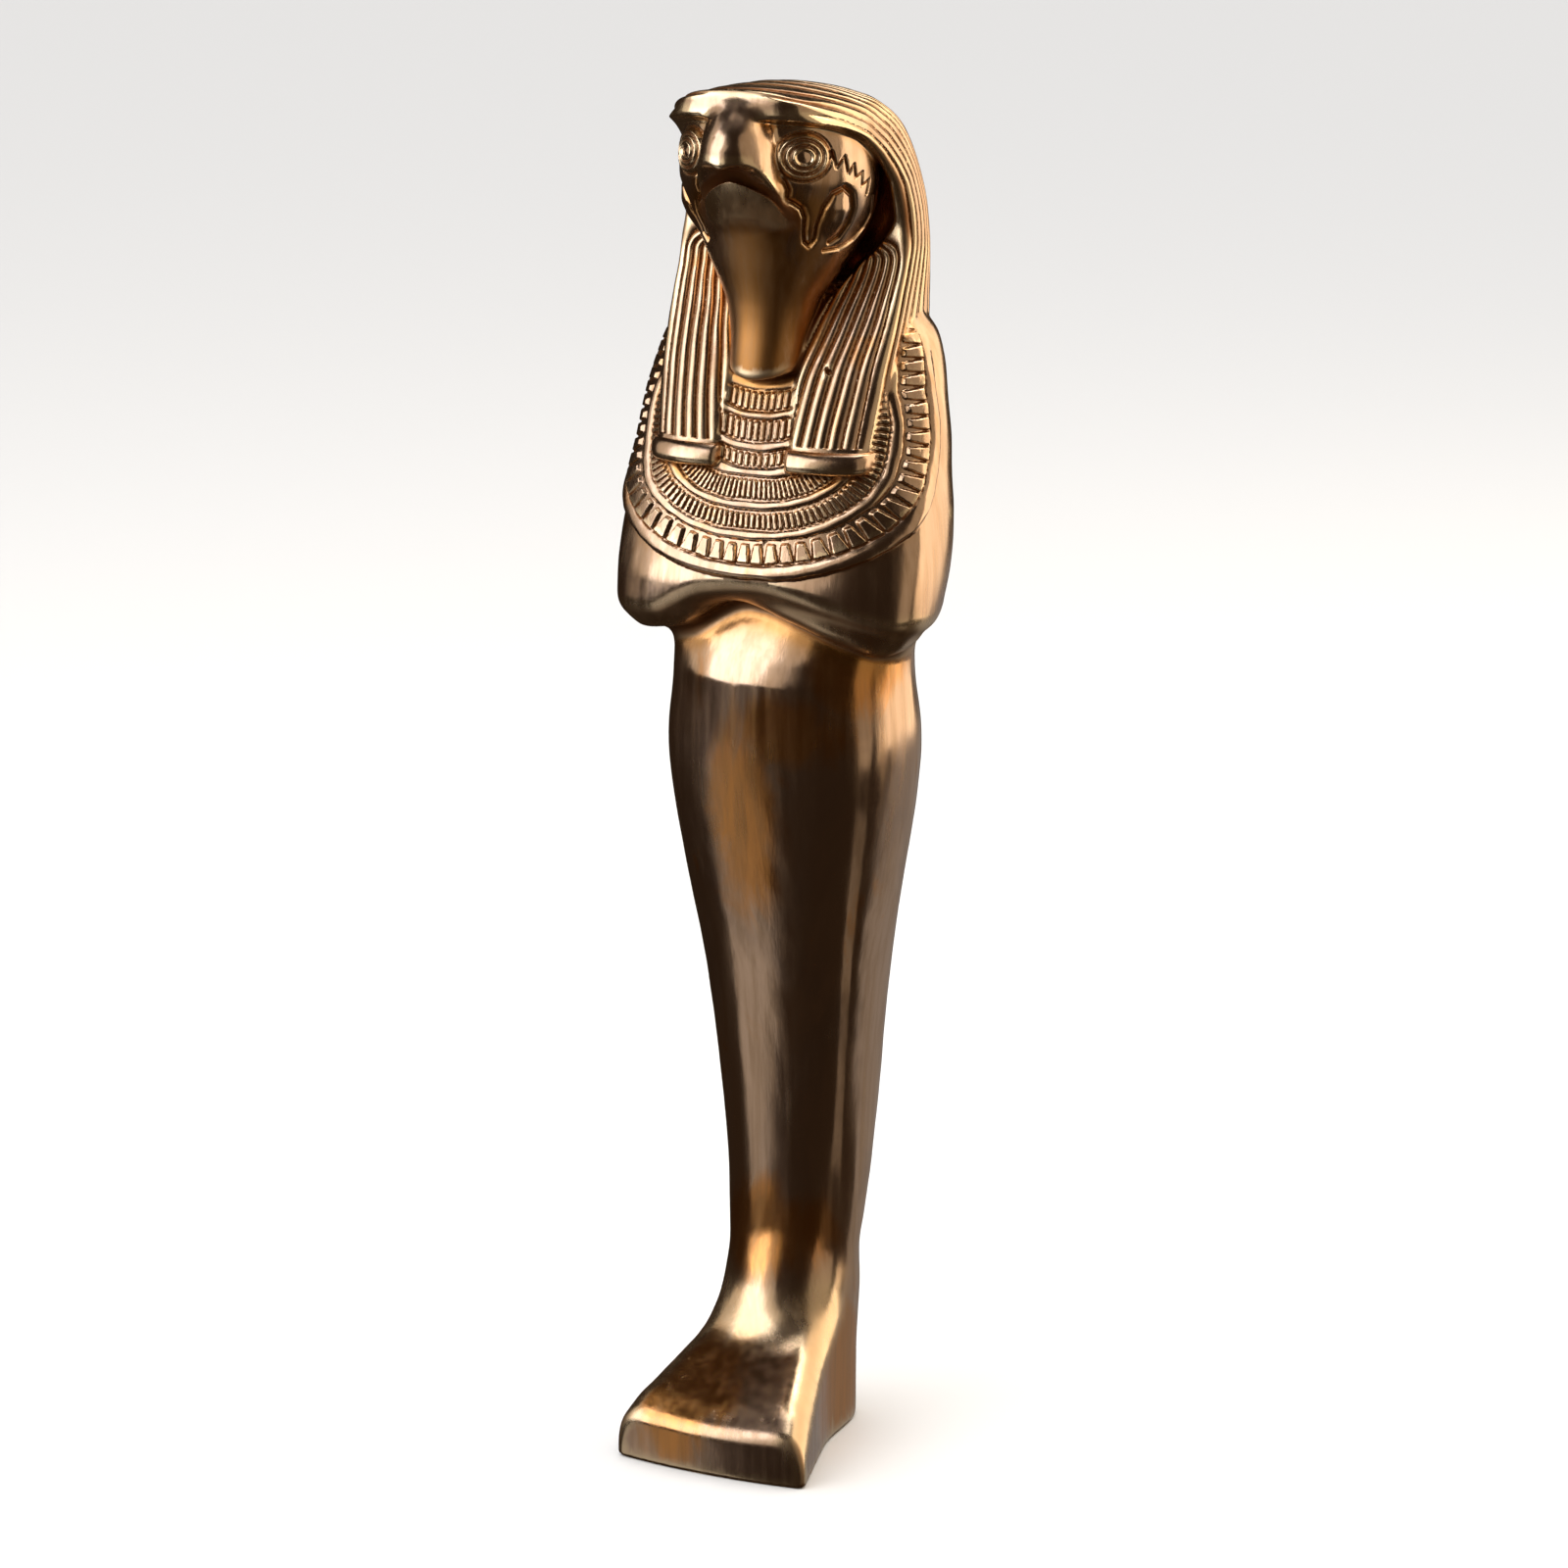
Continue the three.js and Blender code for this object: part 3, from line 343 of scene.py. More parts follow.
# The front bends back to both sides of the wig's middle, and of each lappet's middle, which is this far out
WIG_BEND = 0.0025
LAPPET_BEND = 0.012
LAPPET_MIDDLE = 26
LAPPET_END = 367
BAR_LENGTH = 9.5
BAR_SHARE = 0.86
BAR_SWELL = 0.4
BAR_HEIGHT = 2.4
HEM_BEHIND = 385
HEM_BOW = 4
# The top of the head: its height, and how it falls to the sides and behind the peak
CROWN_TOP = 503
CROWN_PEAK = -18
CROWN_SIDE_FALL = 0.0066
CROWN_BACK_FALL = 0.0032
# Widths of a reed on the lappets and on the rest of the wig, and of the round corner that both start from
LAPPET_REED = 5.3
SIDE_REED = 3.8
LAPPET_CORNER = 5.2
SIDE_CORNER = 3.2
LAPPET_REACH = 60
WIG_REACH = 400
# Depth of the grooves between the reeds on the wig and on the lappets, and how sharp they are
GROOVE_DEPTH = (1.0, 1.5)
GROOVE_SHARPNESS = (0.7, 0.45)
# The lappet's reeds draw closer together upwards, like the blades of a fan
lappet_fan = profile((367, 1), (400, 1.12), (420, 1.3), (440, 1.55), (450, 1.6))
# The edge of the opening round the face on one side, as half width, depth and height
RIM = ((46, -1, 360), (46, -1, 452), (45, -3, 466), (43, -6, 471.5), (41.5, -11, 478), (39.5, -18.5, 484),
       (37, -30, 489), (34, -43, 492.3), (26, -50.5, 494), (0, -51.5, 494))


def front_bend(x, z):
    """How far the wig's front bends back."""
    bend = WIG_BEND * x * x + LAPPET_BEND * (np.abs(x) - LAPPET_MIDDLE) ** 2
    return bend * (1 - ease(380, 446, z))


def crown(x, y):
    """Height of the top of the head."""
    return CROWN_TOP - CROWN_SIDE_FALL * x * x - CROWN_BACK_FALL * np.maximum(0, y - CROWN_PEAK) ** 2


def line_distance(place, line):
    """Distance from a place to a line of straight pieces, both given in two measures or in three."""
    best = np.full(place[0].shape, 9999.0)
    for start, end in zip(line, line[1:]):
        step = [b - a for a, b in zip(start, end)]
        t = sum((p - a) * s for p, a, s in zip(place, start, step)) / sum(s * s for s in step)
        t = np.clip(t, 0, 1)
        best = np.minimum(best, sum((p - a - t * s) ** 2 for p, a, s in zip(place, start, step)))
    return np.sqrt(best)


def reed_count(way, corner, reed, reach):
    """How many reeds a way crosses: the round corner counts as half a reed, and the rest are of one width."""
    return np.interp(way, (0, corner, reach), (0, 0.5, 0.5 + (reach - corner) / reed))


def reeds(x, y, z):
    """Which reed a point of the wig lies on, and how far it is into the lappet.

    The reeds follow the opening's edge: beside the face at an even distance as seen from the side, and over
    the back of the head at an even distance in space. Below the face they hang straight. On the lappets they
    are counted from the outer side towards the gap.
    """
    ax = np.abs(x)
    inward = np.maximum(wig_half(z) - ax, 0) * lappet_fan(z)
    onward = y - wig_front(z) - front_bend(x, z)
    upper = ease(438, 452, z)
    outer = np.maximum(1 - ease(3, 9, wig_half(z) - ax), ease(2, 12, y))
    arches = line_distance((y, z), [corner[1:] for corner in RIM])
    round_head = mix(arches, line_distance((ax, y, z), RIM), ease(-2, 26, y))
    side = mix(np.maximum(onward, 0), np.where(y > -1, round_head, y + 1), ease(4, 40, onward))
    along = mix(side, round_head, upper)
    lappet = inward * (1 - ease(440, 452, z)) * (1 - ease(16, 30, onward))
    count = 0.5 + reed_count(along, SIDE_CORNER, SIDE_REED, WIG_REACH) * np.maximum(outer, upper)
    return count - reed_count(lappet, LAPPET_CORNER, LAPPET_REED, LAPPET_REACH), lappet


def wig(x, y, z):
    ax = np.abs(x)
    half = wig_half(z)
    square = mix(LAPPET_SQUARE, HEAD_SQUARE, ease(400, 440, z))
    square = mix(square, CROWN_SQUARE, ease(470, 488, z))
    d = oval(x, y, half, WIG_FRONT_DEPTH, wig_back(z), square, WIG_BACK_SQUARE)
    front = (wig_front(z) + front_bend(x, z) - y) * 0.85
    d = soft_max(d, front, mix(4.5, 2.4, ease(484, 493, z)))
    top = (z - crown(x, y)) * 0.96
    d = soft_max(d, top, mix(6, 2, ease(-26, -40, y)))
    count, lappet = reeds(x, y, z)
    count = count + 0.05 * ripple(x, y, z, 24)
    on_lappet = ease(1, 5, lappet)
    smooth = ease(-35, -44, y) * ease(478, 486, z) * (1 - ease(-1.6, -0.6, top))
    groove = 1 - np.abs(np.sin(math.pi * count)) ** mix(*GROOVE_SHARPNESS, on_lappet)
    d = d + mix(*GROOVE_DEPTH, on_lappet) * groove * (1 - smooth) * (z >= LAPPET_END + BAR_LENGTH)
    gap = soft_max(soft_max(ax - wig_gap(z), y - GAP_BACK, 6), z - GAP_TOP, 8)
    d = soft_max(d, -gap * 0.9, 2.4)
    bar = (z - LAPPET_END) / BAR_LENGTH
    raised = np.sin(math.pi * np.clip(bar / BAR_SHARE, 0, 1)) ** BAR_SWELL
    raised = raised * ease(-3, 1.6, ax - wig_gap(z)) * ease(-2.4, 1, half - ax)
    d = d - BAR_HEIGHT * raised * (y < 0)
    behind = HEM_BEHIND + HEM_BOW * (ax / half) ** 2
    return soft_max(d, mix(LAPPET_END, behind, ease(-6, 6, y)) - z, 2)


# The falcon's head, cast with the wig and the throat: a hooked beak under the wig's visor, eyes in raised
# rings, and behind them the dark streak and the oval patch, their lines cut with a chisel.

face_half = profile((392, 12.9), (402, 12.9), (412, 13.4), (424, 16.2), (437, 23.6), (451, 31), (461, 34.6),
                    (472, 36), (484, 35.2), (494, 33))
face_middle = profile((392, -24), (402, -23), (424, -17.6), (437, -13), (453, -10), (472, -12), (494, -10))
face_depth = profile((392, 12), (412, 12.6), (424, 15), (437, 21), (451, 27), (461, 31), (472, 33), (494, 33))
FACE_SQUARE = 2.1
FACE_BACK_SHARE = 0.9
FACE_TOP = 494
THROAT_END = 399.2
THROAT_BOW = 0.018
# The eye's middle as half width, depth and height, and which way its rings face: they lean with the cheek and
# are a little wider than high
EYE = (22, -37.3, 479.6)
EYE_LEAN = (0.8, 0.6)
EYE_FLATTENING = 1.2
EYE_FRONT = -20
# The rings reach this far from the eye's middle and have this pitch. They stand this high, on ground that
# starts this high and climbs this much per millimetre inwards
EYE_REACH = 9.6
EYE_PITCH = 2.4
EYE_RING_HEIGHT = 0.95
EYE_STEP = 0.3
EYE_CLIMB = 0.15
# A groove runs round the rings: its depth, how far outside them it lies, and its half width
EYE_GROOVE = (0.6, 0.7, 0.6)
# Lines cut into each cheek, as degrees round the face and height: the streak's front edge, its tip and the
# rim of the oval patch behind it, the jaw line, a zigzag of feather nicks, and the mouth. Each has its depth
# and half width. The face turns about this depth, and a degree is this wide on the cheek.
FACE_AXIS = -12
DEGREE = 0.52
STREAK = ((26, 472.7), (30, 470.7), (32, 468), (31, 464.6), (36, 463.4), (41, 461.5), (44, 458), (44.5, 453),
          (46, 449), (50, 447.4), (53.5, 450), (53, 455.5), (55, 461), (60, 466.3), (67, 468), (73, 465.5),
          (76.5, 460.5), (76, 455), (71, 450.5), (65, 448.7))
JAW_LINE = ((62, 445.5), (76, 446), (88, 448.6), (97, 452.5), (100, 457), (96, 463.4))
NICKS = ((59, 481), (61, 475.3), (67, 479.1), (69, 473), (74, 476.1), (75, 471.2), (81, 473), (81, 468.1),
         (88, 469.8), (87, 464.9))
MOUTH = ((14, 475.6), (17.7, 472.8), (24.9, 467.5), (30.5, 463.3))
CHEEK_CUTS = ((STREAK, 1.7, 0.95), (JAW_LINE, 1.2, 0.75), (NICKS, 0.9, 0.45), (MOUTH, 0.9, 0.8))
# The oval patch: its middle on the cheek, its half width and half height, and how far it is raised
PATCH_MIDDLE = (33.8, 457.5)
PATCH_SIZE = (5.6, 9.6)
PATCH_HEIGHT = 1.5


def face(x, y, z):
    ax = np.abs(x)
    front = face_depth(z)
    d = oval(x, y - face_middle(z), face_half(z), front, front * FACE_BACK_SHARE, FACE_SQUARE, FACE_SQUARE)
    across = (ax - EYE[0]) * EYE_LEAN[0] + (y - EYE[1]) * EYE_LEAN[1]
    r = np.hypot(across, (z - EYE[2]) * EYE_FLATTENING)
    in_front = y < EYE_FRONT
    inwards = EYE_REACH - r
    rings = (0.5 - 0.5 * np.cos(2 * math.pi * inwards / EYE_PITCH)) * (r > EYE_PITCH)
    raised = EYE_STEP + EYE_CLIMB * inwards + EYE_RING_HEIGHT * rings
    d = d - in_front * (1 - ease(EYE_REACH, EYE_REACH + 0.5, r)) * raised
    deep, away, wide = EYE_GROOVE
    d = d + deep * np.exp(-(((r - EYE_REACH - away) / wide) ** 2)) * in_front
    m = (y < 6) & (z > 438) & (z < 490)
    if m.any():
        round_face = np.degrees(np.arctan2(ax[m], -(y[m] - FACE_AXIS))) * DEGREE
        high = z[m]
        patch_x = (round_face - PATCH_MIDDLE[0]) / PATCH_SIZE[0]
        patch_z = (high - PATCH_MIDDLE[1]) / PATCH_SIZE[1]
        cut = -PATCH_HEIGHT * (1 - ease(0.2, 1.0, np.hypot(patch_x, patch_z)))
        for line, deep, wide in CHEEK_CUTS:
            away = line_distance((round_face, high), [(turn * DEGREE, h) for turn, h in line])
            cut = cut + deep * np.exp(-((away / wide) ** 2))
        d[m] = d[m] + cut
    return soft_max(soft_max(d, THROAT_END + THROAT_BOW * x * x - z, 2.4), z - FACE_TOP, 6)


beak_square = profile((476, 2.2), (484, 2), (503, 1.95))
beak_half = profile((460, 16.5), (470, 15.8), (478, 15), (484, 14.2), (490, 12.8), (495, 11), (503, 8))
beak_front = profile((466, 57.5), (477, 58.9), (482, 58.8), (487, 57), (492, 53.6), (497, 49), (504, 43))
beak_edge = profile((-64, 477.6), (-56, 477.4), (-53, 476.2), (-50, 473.2), (-45, 467.8), (-41, 463.5),
                    (-34, 457))
BEAK_MIDDLE = -38
BEAK_BACK_DEPTH = 14
BEAK_BACK_SQUARE = 1.85
BEAK_BELOW_CROWN = 4.5
# The hook at the beak's tip: how far it hangs down, and its half width
HOOK = (1.3, 3.4)


def beak(x, y, z):
    front = beak_front(z) + BEAK_MIDDLE
    d = oval(x, y - BEAK_MIDDLE, beak_half(z), front, BEAK_BACK_DEPTH, beak_square(z), BEAK_BACK_SQUARE)
    hang, wide = HOOK
    edge = beak_edge(y) - hang * np.exp(-((x / wide) ** 2)) * ease(-53, -58, y)
    d = soft_max(d, (edge - z) * 0.8, 1.4)
    return soft_max(d, z - crown(x, y) + BEAK_BELOW_CROWN, 3)


# The lower beak: its half width and front depth at its top, how they change over its height down to the
# throat, and how far it stays under the upper beak's edge
CHIN_MIDDLE = -36
CHIN_TOP = 475
CHIN_HEIGHT = 14
CHIN_END = 455
CHIN_HALF = (14, 10)
CHIN_FRONT = (16.8, 8.6)
CHIN_CURVE = 1.15
CHIN_BACK_DEPTH = 10
MOUTH_DEPTH = 2.6


def chin(x, y, z):
    drop = np.clip((CHIN_TOP - z) / CHIN_HEIGHT, 0, 1.3)
    half = CHIN_HALF[0] + CHIN_HALF[1] * drop
    front = CHIN_FRONT[0] - CHIN_FRONT[1] * drop**CHIN_CURVE
    d = oval(x, y - CHIN_MIDDLE, half, front, CHIN_BACK_DEPTH, 2, 2) * 0.85
    d = soft_max(d, z - beak_edge(y) + MOUTH_DEPTH, 0.8)
    return soft_max(d, CHIN_END - z, 14)


# The whole casting: the legs, foot block, chest and head run into each other without seams, as in the carved
# model that it was cast from. A few pits and chips are left from the casting, and the sole is flat.

# Where each pit is, and its size
PITS = ((-3.2, -57, 487, 0.6), (25.4, -24, 402.2, 1.1), (24.6, -24.4, 403.6, 0.8), (-53.6, -12.5, 396.8, 1.5),
        (-54.6, -11, 399.5, 1.3), (-52.5, -13, 393.9, 1.0), (60.5, 2, 351, 0.5))
PIT_EDGE = 0.5
# Each form is worked out over its own heights alone, which saves time
FOOT_BELOW = 110
TRUNK_ABOVE = 280
HEAD_ABOVE = 350
ANKLE_BLEND = 20
HIP_BLEND = (9, 5)
CHIN_BLEND = 6
BEAK_BLEND = 2
WIG_BLEND = 1.6
FACE_BLEND = (2, 4.5)
# The plain parts are a little uneven: how much, and over what length
SWELLS = ((0.1, 31), (0.04, 11))
# The field is cut off just below the floor's level, so that the sole can be levelled there
SOLE = -0.3
SOLE_EDGE = 2.4


def figure(x, y, z):
    d = legs(x, y, z)
    m = z < FOOT_BELOW
    if m.any():
        d[m] = soft_min(d[m], foot_block(x[m], y[m], z[m]), ANKLE_BLEND)
    m = z > TRUNK_ABOVE
    if m.any():
        d[m] = soft_min(d[m], trunk(x[m], y[m], z[m]), mix(*HIP_BLEND, ease(-20, 10, x[m])))
    m = z > HEAD_ABOVE
    if m.any():
        p = x[m], y[m], z[m]
        head = soft_min(soft_min(face(*p), chin(*p), CHIN_BLEND), beak(*p), BEAK_BLEND)
        d[m] = soft_min(soft_min(d[m], wig(*p), WIG_BLEND), head, mix(*FACE_BLEND, ease(484, 491, p[2])))
    for height, length in SWELLS:
        d = d + height * ripple(x, y, z, length)
    for px, py, pz, size in PITS:
        m = np.abs(z - pz) < size + 1
        if m.any():
            ball = size - np.sqrt((x[m] - px) ** 2 + (y[m] - py) ** 2 + (z[m] - pz) ** 2)
            d[m] = soft_max(d[m], ball, PIT_EDGE)
    return soft_max(d, -(z - SOLE), SOLE_EDGE)


# The surface is taken from the field on a grid, in blocks, and only the blocks that the surface crosses are
# worked out in full. The grid's levels lie further apart in the legs, which have no relief.
CELL = 0.42
LEG_CELL = 1.0
BLOCK = 6
GRID_LOW = np.array((-67.2, -78.0))
GRID_HIGH = np.array((67.2, 57.0))
RELIEF_BOTTOM = 312
FIELD_LIMIT = 3
BLOCKS_AT_ONCE = 2000
levels = np.concatenate((np.arange(-3, RELIEF_BOTTOM, LEG_CELL), np.arange(RELIEF_BOTTOM, 507, CELL)))
levels = levels[: len(levels) // BLOCK * BLOCK]
blocks = np.ceil((GRID_HIGH - GRID_LOW) / (CELL * BLOCK)).astype(int)
blocks = np.append(blocks, len(levels) // BLOCK)
grid_value = np.full(blocks * BLOCK, FIELD_LIMIT, np.float32)
shaped = grid_value.reshape(blocks[0], BLOCK, blocks[1], BLOCK, blocks[2], BLOCK)
sides = [GRID_LOW[i] + np.arange(blocks[i] * BLOCK) * CELL for i in range(2)]
sides = [side.reshape(-1, BLOCK) for side in (*sides, levels)]
middle = np.meshgrid(*(side.mean(1) for side in sides), indexing="ij")
ix, iy, iz = (m.ravel() for m in np.meshgrid(*(np.arange(n) for n in blocks), indexing="ij"))
far = figure(*(m.ravel() for m in middle))
solid = far < 0
shaped[ix[solid], :, iy[solid], :, iz[solid], :] = -FIELD_LIMIT
# A block counts as crossed when the surface is nearer to its middle than its corners are, with some to spare
reach = np.hypot(CELL * BLOCK * 0.71, (sides[2][:, -1] - sides[2][:, 0]) * 0.6) * 1.15 + 1.5
near = np.flatnonzero(np.abs(far) < reach[iz])
for start in range(0, len(near), BLOCKS_AT_ONCE):
    at = near[start : start + BLOCKS_AT_ONCE]
    x = sides[0][ix[at]][:, :, None, None]
    y = sides[1][iy[at]][:, None, :, None]
    z = sides[2][iz[at]][:, None, None, :]
    x, y, z = np.broadcast_arrays(x, y, z)
    value = figure(x.ravel(), y.ravel(), z.ravel()).reshape(x.shape)
    shaped[ix[at], :, iy[at], :, iz[at], :] = np.clip(value, -FIELD_LIMIT, FIELD_LIMIT)
grid = openvdb.FloatGrid(float(FIELD_LIMIT))
grid.copyFromArray(grid_value)
points, quads = grid.convertToQuads(0.0)
del grid, grid_value, shaped
points = points.astype(float)
points[:, :2] = points[:, :2] * CELL + GRID_LOW
points[:, 2] = np.interp(points[:, 2], np.arange(len(levels)), levels)
quads = quads.astype(np.int32)

mesh = bpy.data.meshes.new("falcon_figure_cast")
mesh.vertices.add(len(points))
mesh.vertices.foreach_set("co", (points / 1000).astype(np.float32).ravel())
mesh.loops.add(quads.size)
mesh.loops.foreach_set("vertex_index", quads.ravel())
mesh.polygons.add(len(quads))
mesh.polygons.foreach_set("loop_start", np.arange(0, quads.size, 4, dtype=np.int32))
mesh.update(calc_edges=True)
cast = bpy.data.objects.new("falcon_figure_cast", mesh)
bpy.context.collection.objects.link(cast)
bpy.context.view_layer.objects.active = cast
cast.select_set(True)
bpy.ops.object.mode_set(mode="EDIT")
bpy.ops.mesh.select_all(action="SELECT")
bpy.ops.mesh.bisect(plane_co=(0, 0, 0), plane_no=(0, 0, 1), clear_inner=True, use_fill=True)
bpy.ops.mesh.select_all(action="SELECT")
bpy.ops.mesh.normals_make_consistent(inside=False)
# Crumbs in the narrow gap behind the face aren't part of the casting: only what hangs together with the sole
# stays
bpy.ops.mesh.select_all(action="DESELECT")
bpy.ops.object.mode_set(mode="OBJECT")
corners = np.empty(len(mesh.vertices) * 3, np.float32)
mesh.vertices.foreach_get("co", corners)
mesh.vertices[int(corners[2::3].argmin())].select = True
bpy.ops.object.mode_set(mode="EDIT")
bpy.ops.mesh.select_mode(type="VERT")
bpy.ops.mesh.select_linked()
bpy.ops.mesh.select_all(action="INVERT")
bpy.ops.mesh.delete(type="VERT")
bpy.ops.object.mode_set(mode="OBJECT")
# The mesh is thinned to just under the 200,000 triangles that a piece may have
MOST_TRIANGLES = 190000
thin = cast.modifiers.new("thin", "DECIMATE")
thin.ratio = min(1.0, MOST_TRIANGLES / (len(mesh.polygons) * 2))
thin.use_collapse_triangulate = True
bpy.ops.object.modifier_apply(modifier="thin")

mesh = cast.data
corners = np.empty(len(mesh.vertices) * 3, np.float32)
mesh.vertices.foreach_get("co", corners)
model = corners.reshape(-1, 3).astype(float) * 1000


def field_slope(at, step=0.12):
    return np.stack([figure(*(at + side).T.copy()) - figure(*(at - side).T.copy())
                     for side in np.eye(3) * step], 1) / (2 * step)


# Thinning moves the corners a little; they go back onto the form, except on the flat underside
UNDERSIDE = 1.5
LONGEST_MOVE = 0.25
LEAST_SLOPE_SQUARED = 0.2
for _ in range(2):
    slope = field_slope(model)
    steepness = np.maximum((slope**2).sum(1), LEAST_SLOPE_SQUARED)
    move = (figure(*model.T.copy()) / steepness)[:, None] * slope
    move *= np.minimum(1, LONGEST_MOVE / np.maximum(np.linalg.norm(move, axis=1), 1e-6))[:, None]
    model -= move * (model[:, 2] > UNDERSIDE)[:, None]
# The figure is brought to its real height, and its front to where the CAD model's front is
HEIGHT = 500
p = model * (HEIGHT / (model[:, 2].max() - model[:, 2].min()))
p[:, 1] += cad_box[0][1] * 1000 - p[:, 1].min()
p[:, 2] -= p[:, 2].min()
mesh.vertices.foreach_set("co", (p / 1000).astype(np.float32).ravel())
mesh.update()
bpy.ops.object.shade_smooth()
# The shading follows the form itself, so that the thinned parts mirror evenly
normals = field_slope(model)
normals /= np.maximum(np.linalg.norm(normals, axis=1), 1e-9)[:, None]
flat = model[:, 2] < UNDERSIDE
normals[flat] = np.array([v.normal[:] for v in mesh.vertices])[flat]
mesh.normals_split_custom_set_from_vertices(normals)


# The metal: bronze, polished on the plain parts and brushed lengthwise, with brown patina in the cuts, orange
# in the hollows, and stains that drift over the body. The brown and the orange follow how shut in each point
# is, so they are painted shade in the grooves and creases as well as patina. Three marks on the mesh say how
# deep each point lies in a cut or in a hollow, and how far it stands proud, where cloth has rubbed it bright.
outward = field_slope(model, 0.3)
outward /= np.maximum(np.linalg.norm(outward, axis=1), 1e-9)[:, None]


def shut_in(reach):
    """How much of the way out is blocked within a reach, from 0 on open ground to 1 in a deep crease."""
    out = model + outward * reach
    return np.clip(1 - figure(*out.T.copy()) / reach, 0, 1)


PROUD_DEPTH = 2.2
PROUD_GAIN = 2.4
within = model - outward * PROUD_DEPTH
# The cut and hollow marks measure how shut in a point is, so the colour laid by them is painted shade as well
# as patina
marks = {"cut": np.clip(shut_in(0.8) * 0.5 + shut_in(1.6) * 0.9, 0, 1),
         "hollow": np.clip(shut_in(5) * 0.6 + shut_in(14) * 0.6, 0, 1),
         "proud": np.clip(PROUD_GAIN + figure(*within.T.copy()) / PROUD_DEPTH * PROUD_GAIN, 0, 1)}
for name, value in marks.items():
    mark = mesh.attributes.new(name, "FLOAT", "POINT")
    mark.data.foreach_set("value", value.astype(np.float32))

bronze = bpy.data.materials.new("polished_bronze")
bronze.use_nodes = True
tree = bronze.node_tree
shader = tree.nodes["Principled BSDF"]
shader.inputs["Metallic"].default_value = 1
link = tree.links.new


def node(kind, **values):
    made = tree.nodes.new("ShaderNode" + kind)
    for key, value in values.items():
        setattr(made, key, value)
    return made


place = node("TexCoord")


def noise(scale, stretch, detail, roughness, distortion=0):
    mapping = node("Mapping")
    mapping.inputs["Scale"].default_value = stretch
    link(place.outputs["Object"], mapping.inputs["Vector"])
    made = node("TexNoise")
    link(mapping.outputs["Vector"], made.inputs["Vector"])
    values = {"Scale": scale, "Detail": detail, "Roughness": roughness, "Distortion": distortion}
    for key, value in values.items():
        made.inputs[key].default_value = value
    return made.outputs["Fac"]


def span(value, low_in, high_in, low_out=0.0, high_out=1.0):
    """Turns a value's range into another one, softly at both ends."""
    made = node("MapRange", interpolation_type="SMOOTHSTEP")
    link(value, made.inputs["Value"])
    values = {"From Min": low_in, "From Max": high_in, "To Min": low_out, "To Max": high_out}
    for key, v in values.items():
        made.inputs[key].default_value = v
    return made.outputs["Result"]


def maths(operation, a, b):
    made = node("Math", operation=operation)
    for socket, v in zip(made.inputs, (a, b)):
        if isinstance(v, (int, float)):
            socket.default_value = v
        else:
            link(v, socket)
    return made.outputs[0]


def tint(amount, a, b):
    """Mixes colour b into colour a by an amount."""
    made = node("Mix", data_type="RGBA")
    for socket, v in ((made.inputs[0], amount), (made.inputs[6], a), (made.inputs[7], b)):
        if isinstance(v, tuple):
            socket.default_value = (*v, 1)
        else:
            link(v, socket)
    return made.outputs[2]


cut_patina_and_shade = node("Attribute", attribute_name="cut").outputs["Fac"]
hollow_patina_and_shade = node("Attribute", attribute_name="hollow").outputs["Fac"]
proud_mark = node("Attribute", attribute_name="proud").outputs["Fac"]
clouds = noise(16, (1, 1, 0.55), 4, 0.6, 0.8)
stains = noise(34, (1, 1, 0.4), 5, 0.65, 1.2)
brushed = noise(260, (1, 1, 0.045), 3, 0.6)
fine = noise(900, (1, 1, 0.3), 2, 0.5)
# How far the stains push the edge of a patch in and out
PATCH_UNEVEN = 2.2


def patch(centre, reach, edge=0.35):
    """1 inside an uneven patch of the surface, 0 outside it."""
    mapping = node("Mapping", vector_type="TEXTURE")
    mapping.inputs["Location"].default_value = centre
    mapping.inputs["Scale"].default_value = reach
    link(place.outputs["Object"], mapping.inputs["Vector"])
    away = node("VectorMath", operation="LENGTH")
    link(mapping.outputs["Vector"], away.inputs[0])
    shift = maths("MULTIPLY", maths("SUBTRACT", stains, 0.5), PATCH_UNEVEN)
    uneven = maths("ADD", away.outputs["Value"], shift)
    return span(uneven, 1 - edge, 1 + edge, 1, 0)


PALE_BRONZE = (0.80, 0.54, 0.36)
DARK_BRONZE = (0.62, 0.42, 0.29)
BRUSHED_BROWN = (0.46, 0.27, 0.13)
AMBER = (0.80, 0.33, 0.07)
DULL_BROWN = (0.40, 0.18, 0.05)
# Orange patina in the hollows, and painted shade in the creases between the forms
HOLLOW_ORANGE_PATINA_AND_SHADE = (0.66, 0.32, 0.09)
RUBBED_GOLD = (0.98, 0.74, 0.46)
# Brown patina in the cuts, and painted shade in their grooves
CUT_BROWN_PATINA_AND_SHADE = (0.24, 0.08, 0.018)
# The amber stains, each with its middle and its reach in metres
AMBER_PATCHES = (
    # The front of the thighs and the belly
    ((-0.004, -0.02, 0.240), (0.014, 0.04, 0.034)),
    ((0.014, -0.02, 0.270), (0.022, 0.04, 0.013)),
    # The ankles
    ((-0.004, -0.01, 0.078), (0.022, 0.03, 0.016)),
    # The throat
    ((0.006, -0.02, 0.425), (0.013, 0.03, 0.032)),
    # The foot's top
    ((-0.012, -0.05, 0.034), (0.020, 0.04, 0.026)),
    # The hip
    ((0.034, -0.01, 0.292), (0.012, 0.03, 0.016)),
    # Under the beak
    ((0.004, -0.04, 0.455), (0.016, 0.03, 0.014)),
    # The foot's side
    ((0.026, 0.008, 0.022), (0.012, 0.032, 0.022)),
)
amber = span(stains, 0.58, 0.68, 0, 0.6)
for centre, reach in AMBER_PATCHES:
    amber = maths("MAXIMUM", amber, patch(centre, reach))
colour = tint(span(clouds, 0.42, 0.58), PALE_BRONZE, DARK_BRONZE)
colour = tint(maths("MULTIPLY", amber, 0.85), colour, AMBER)
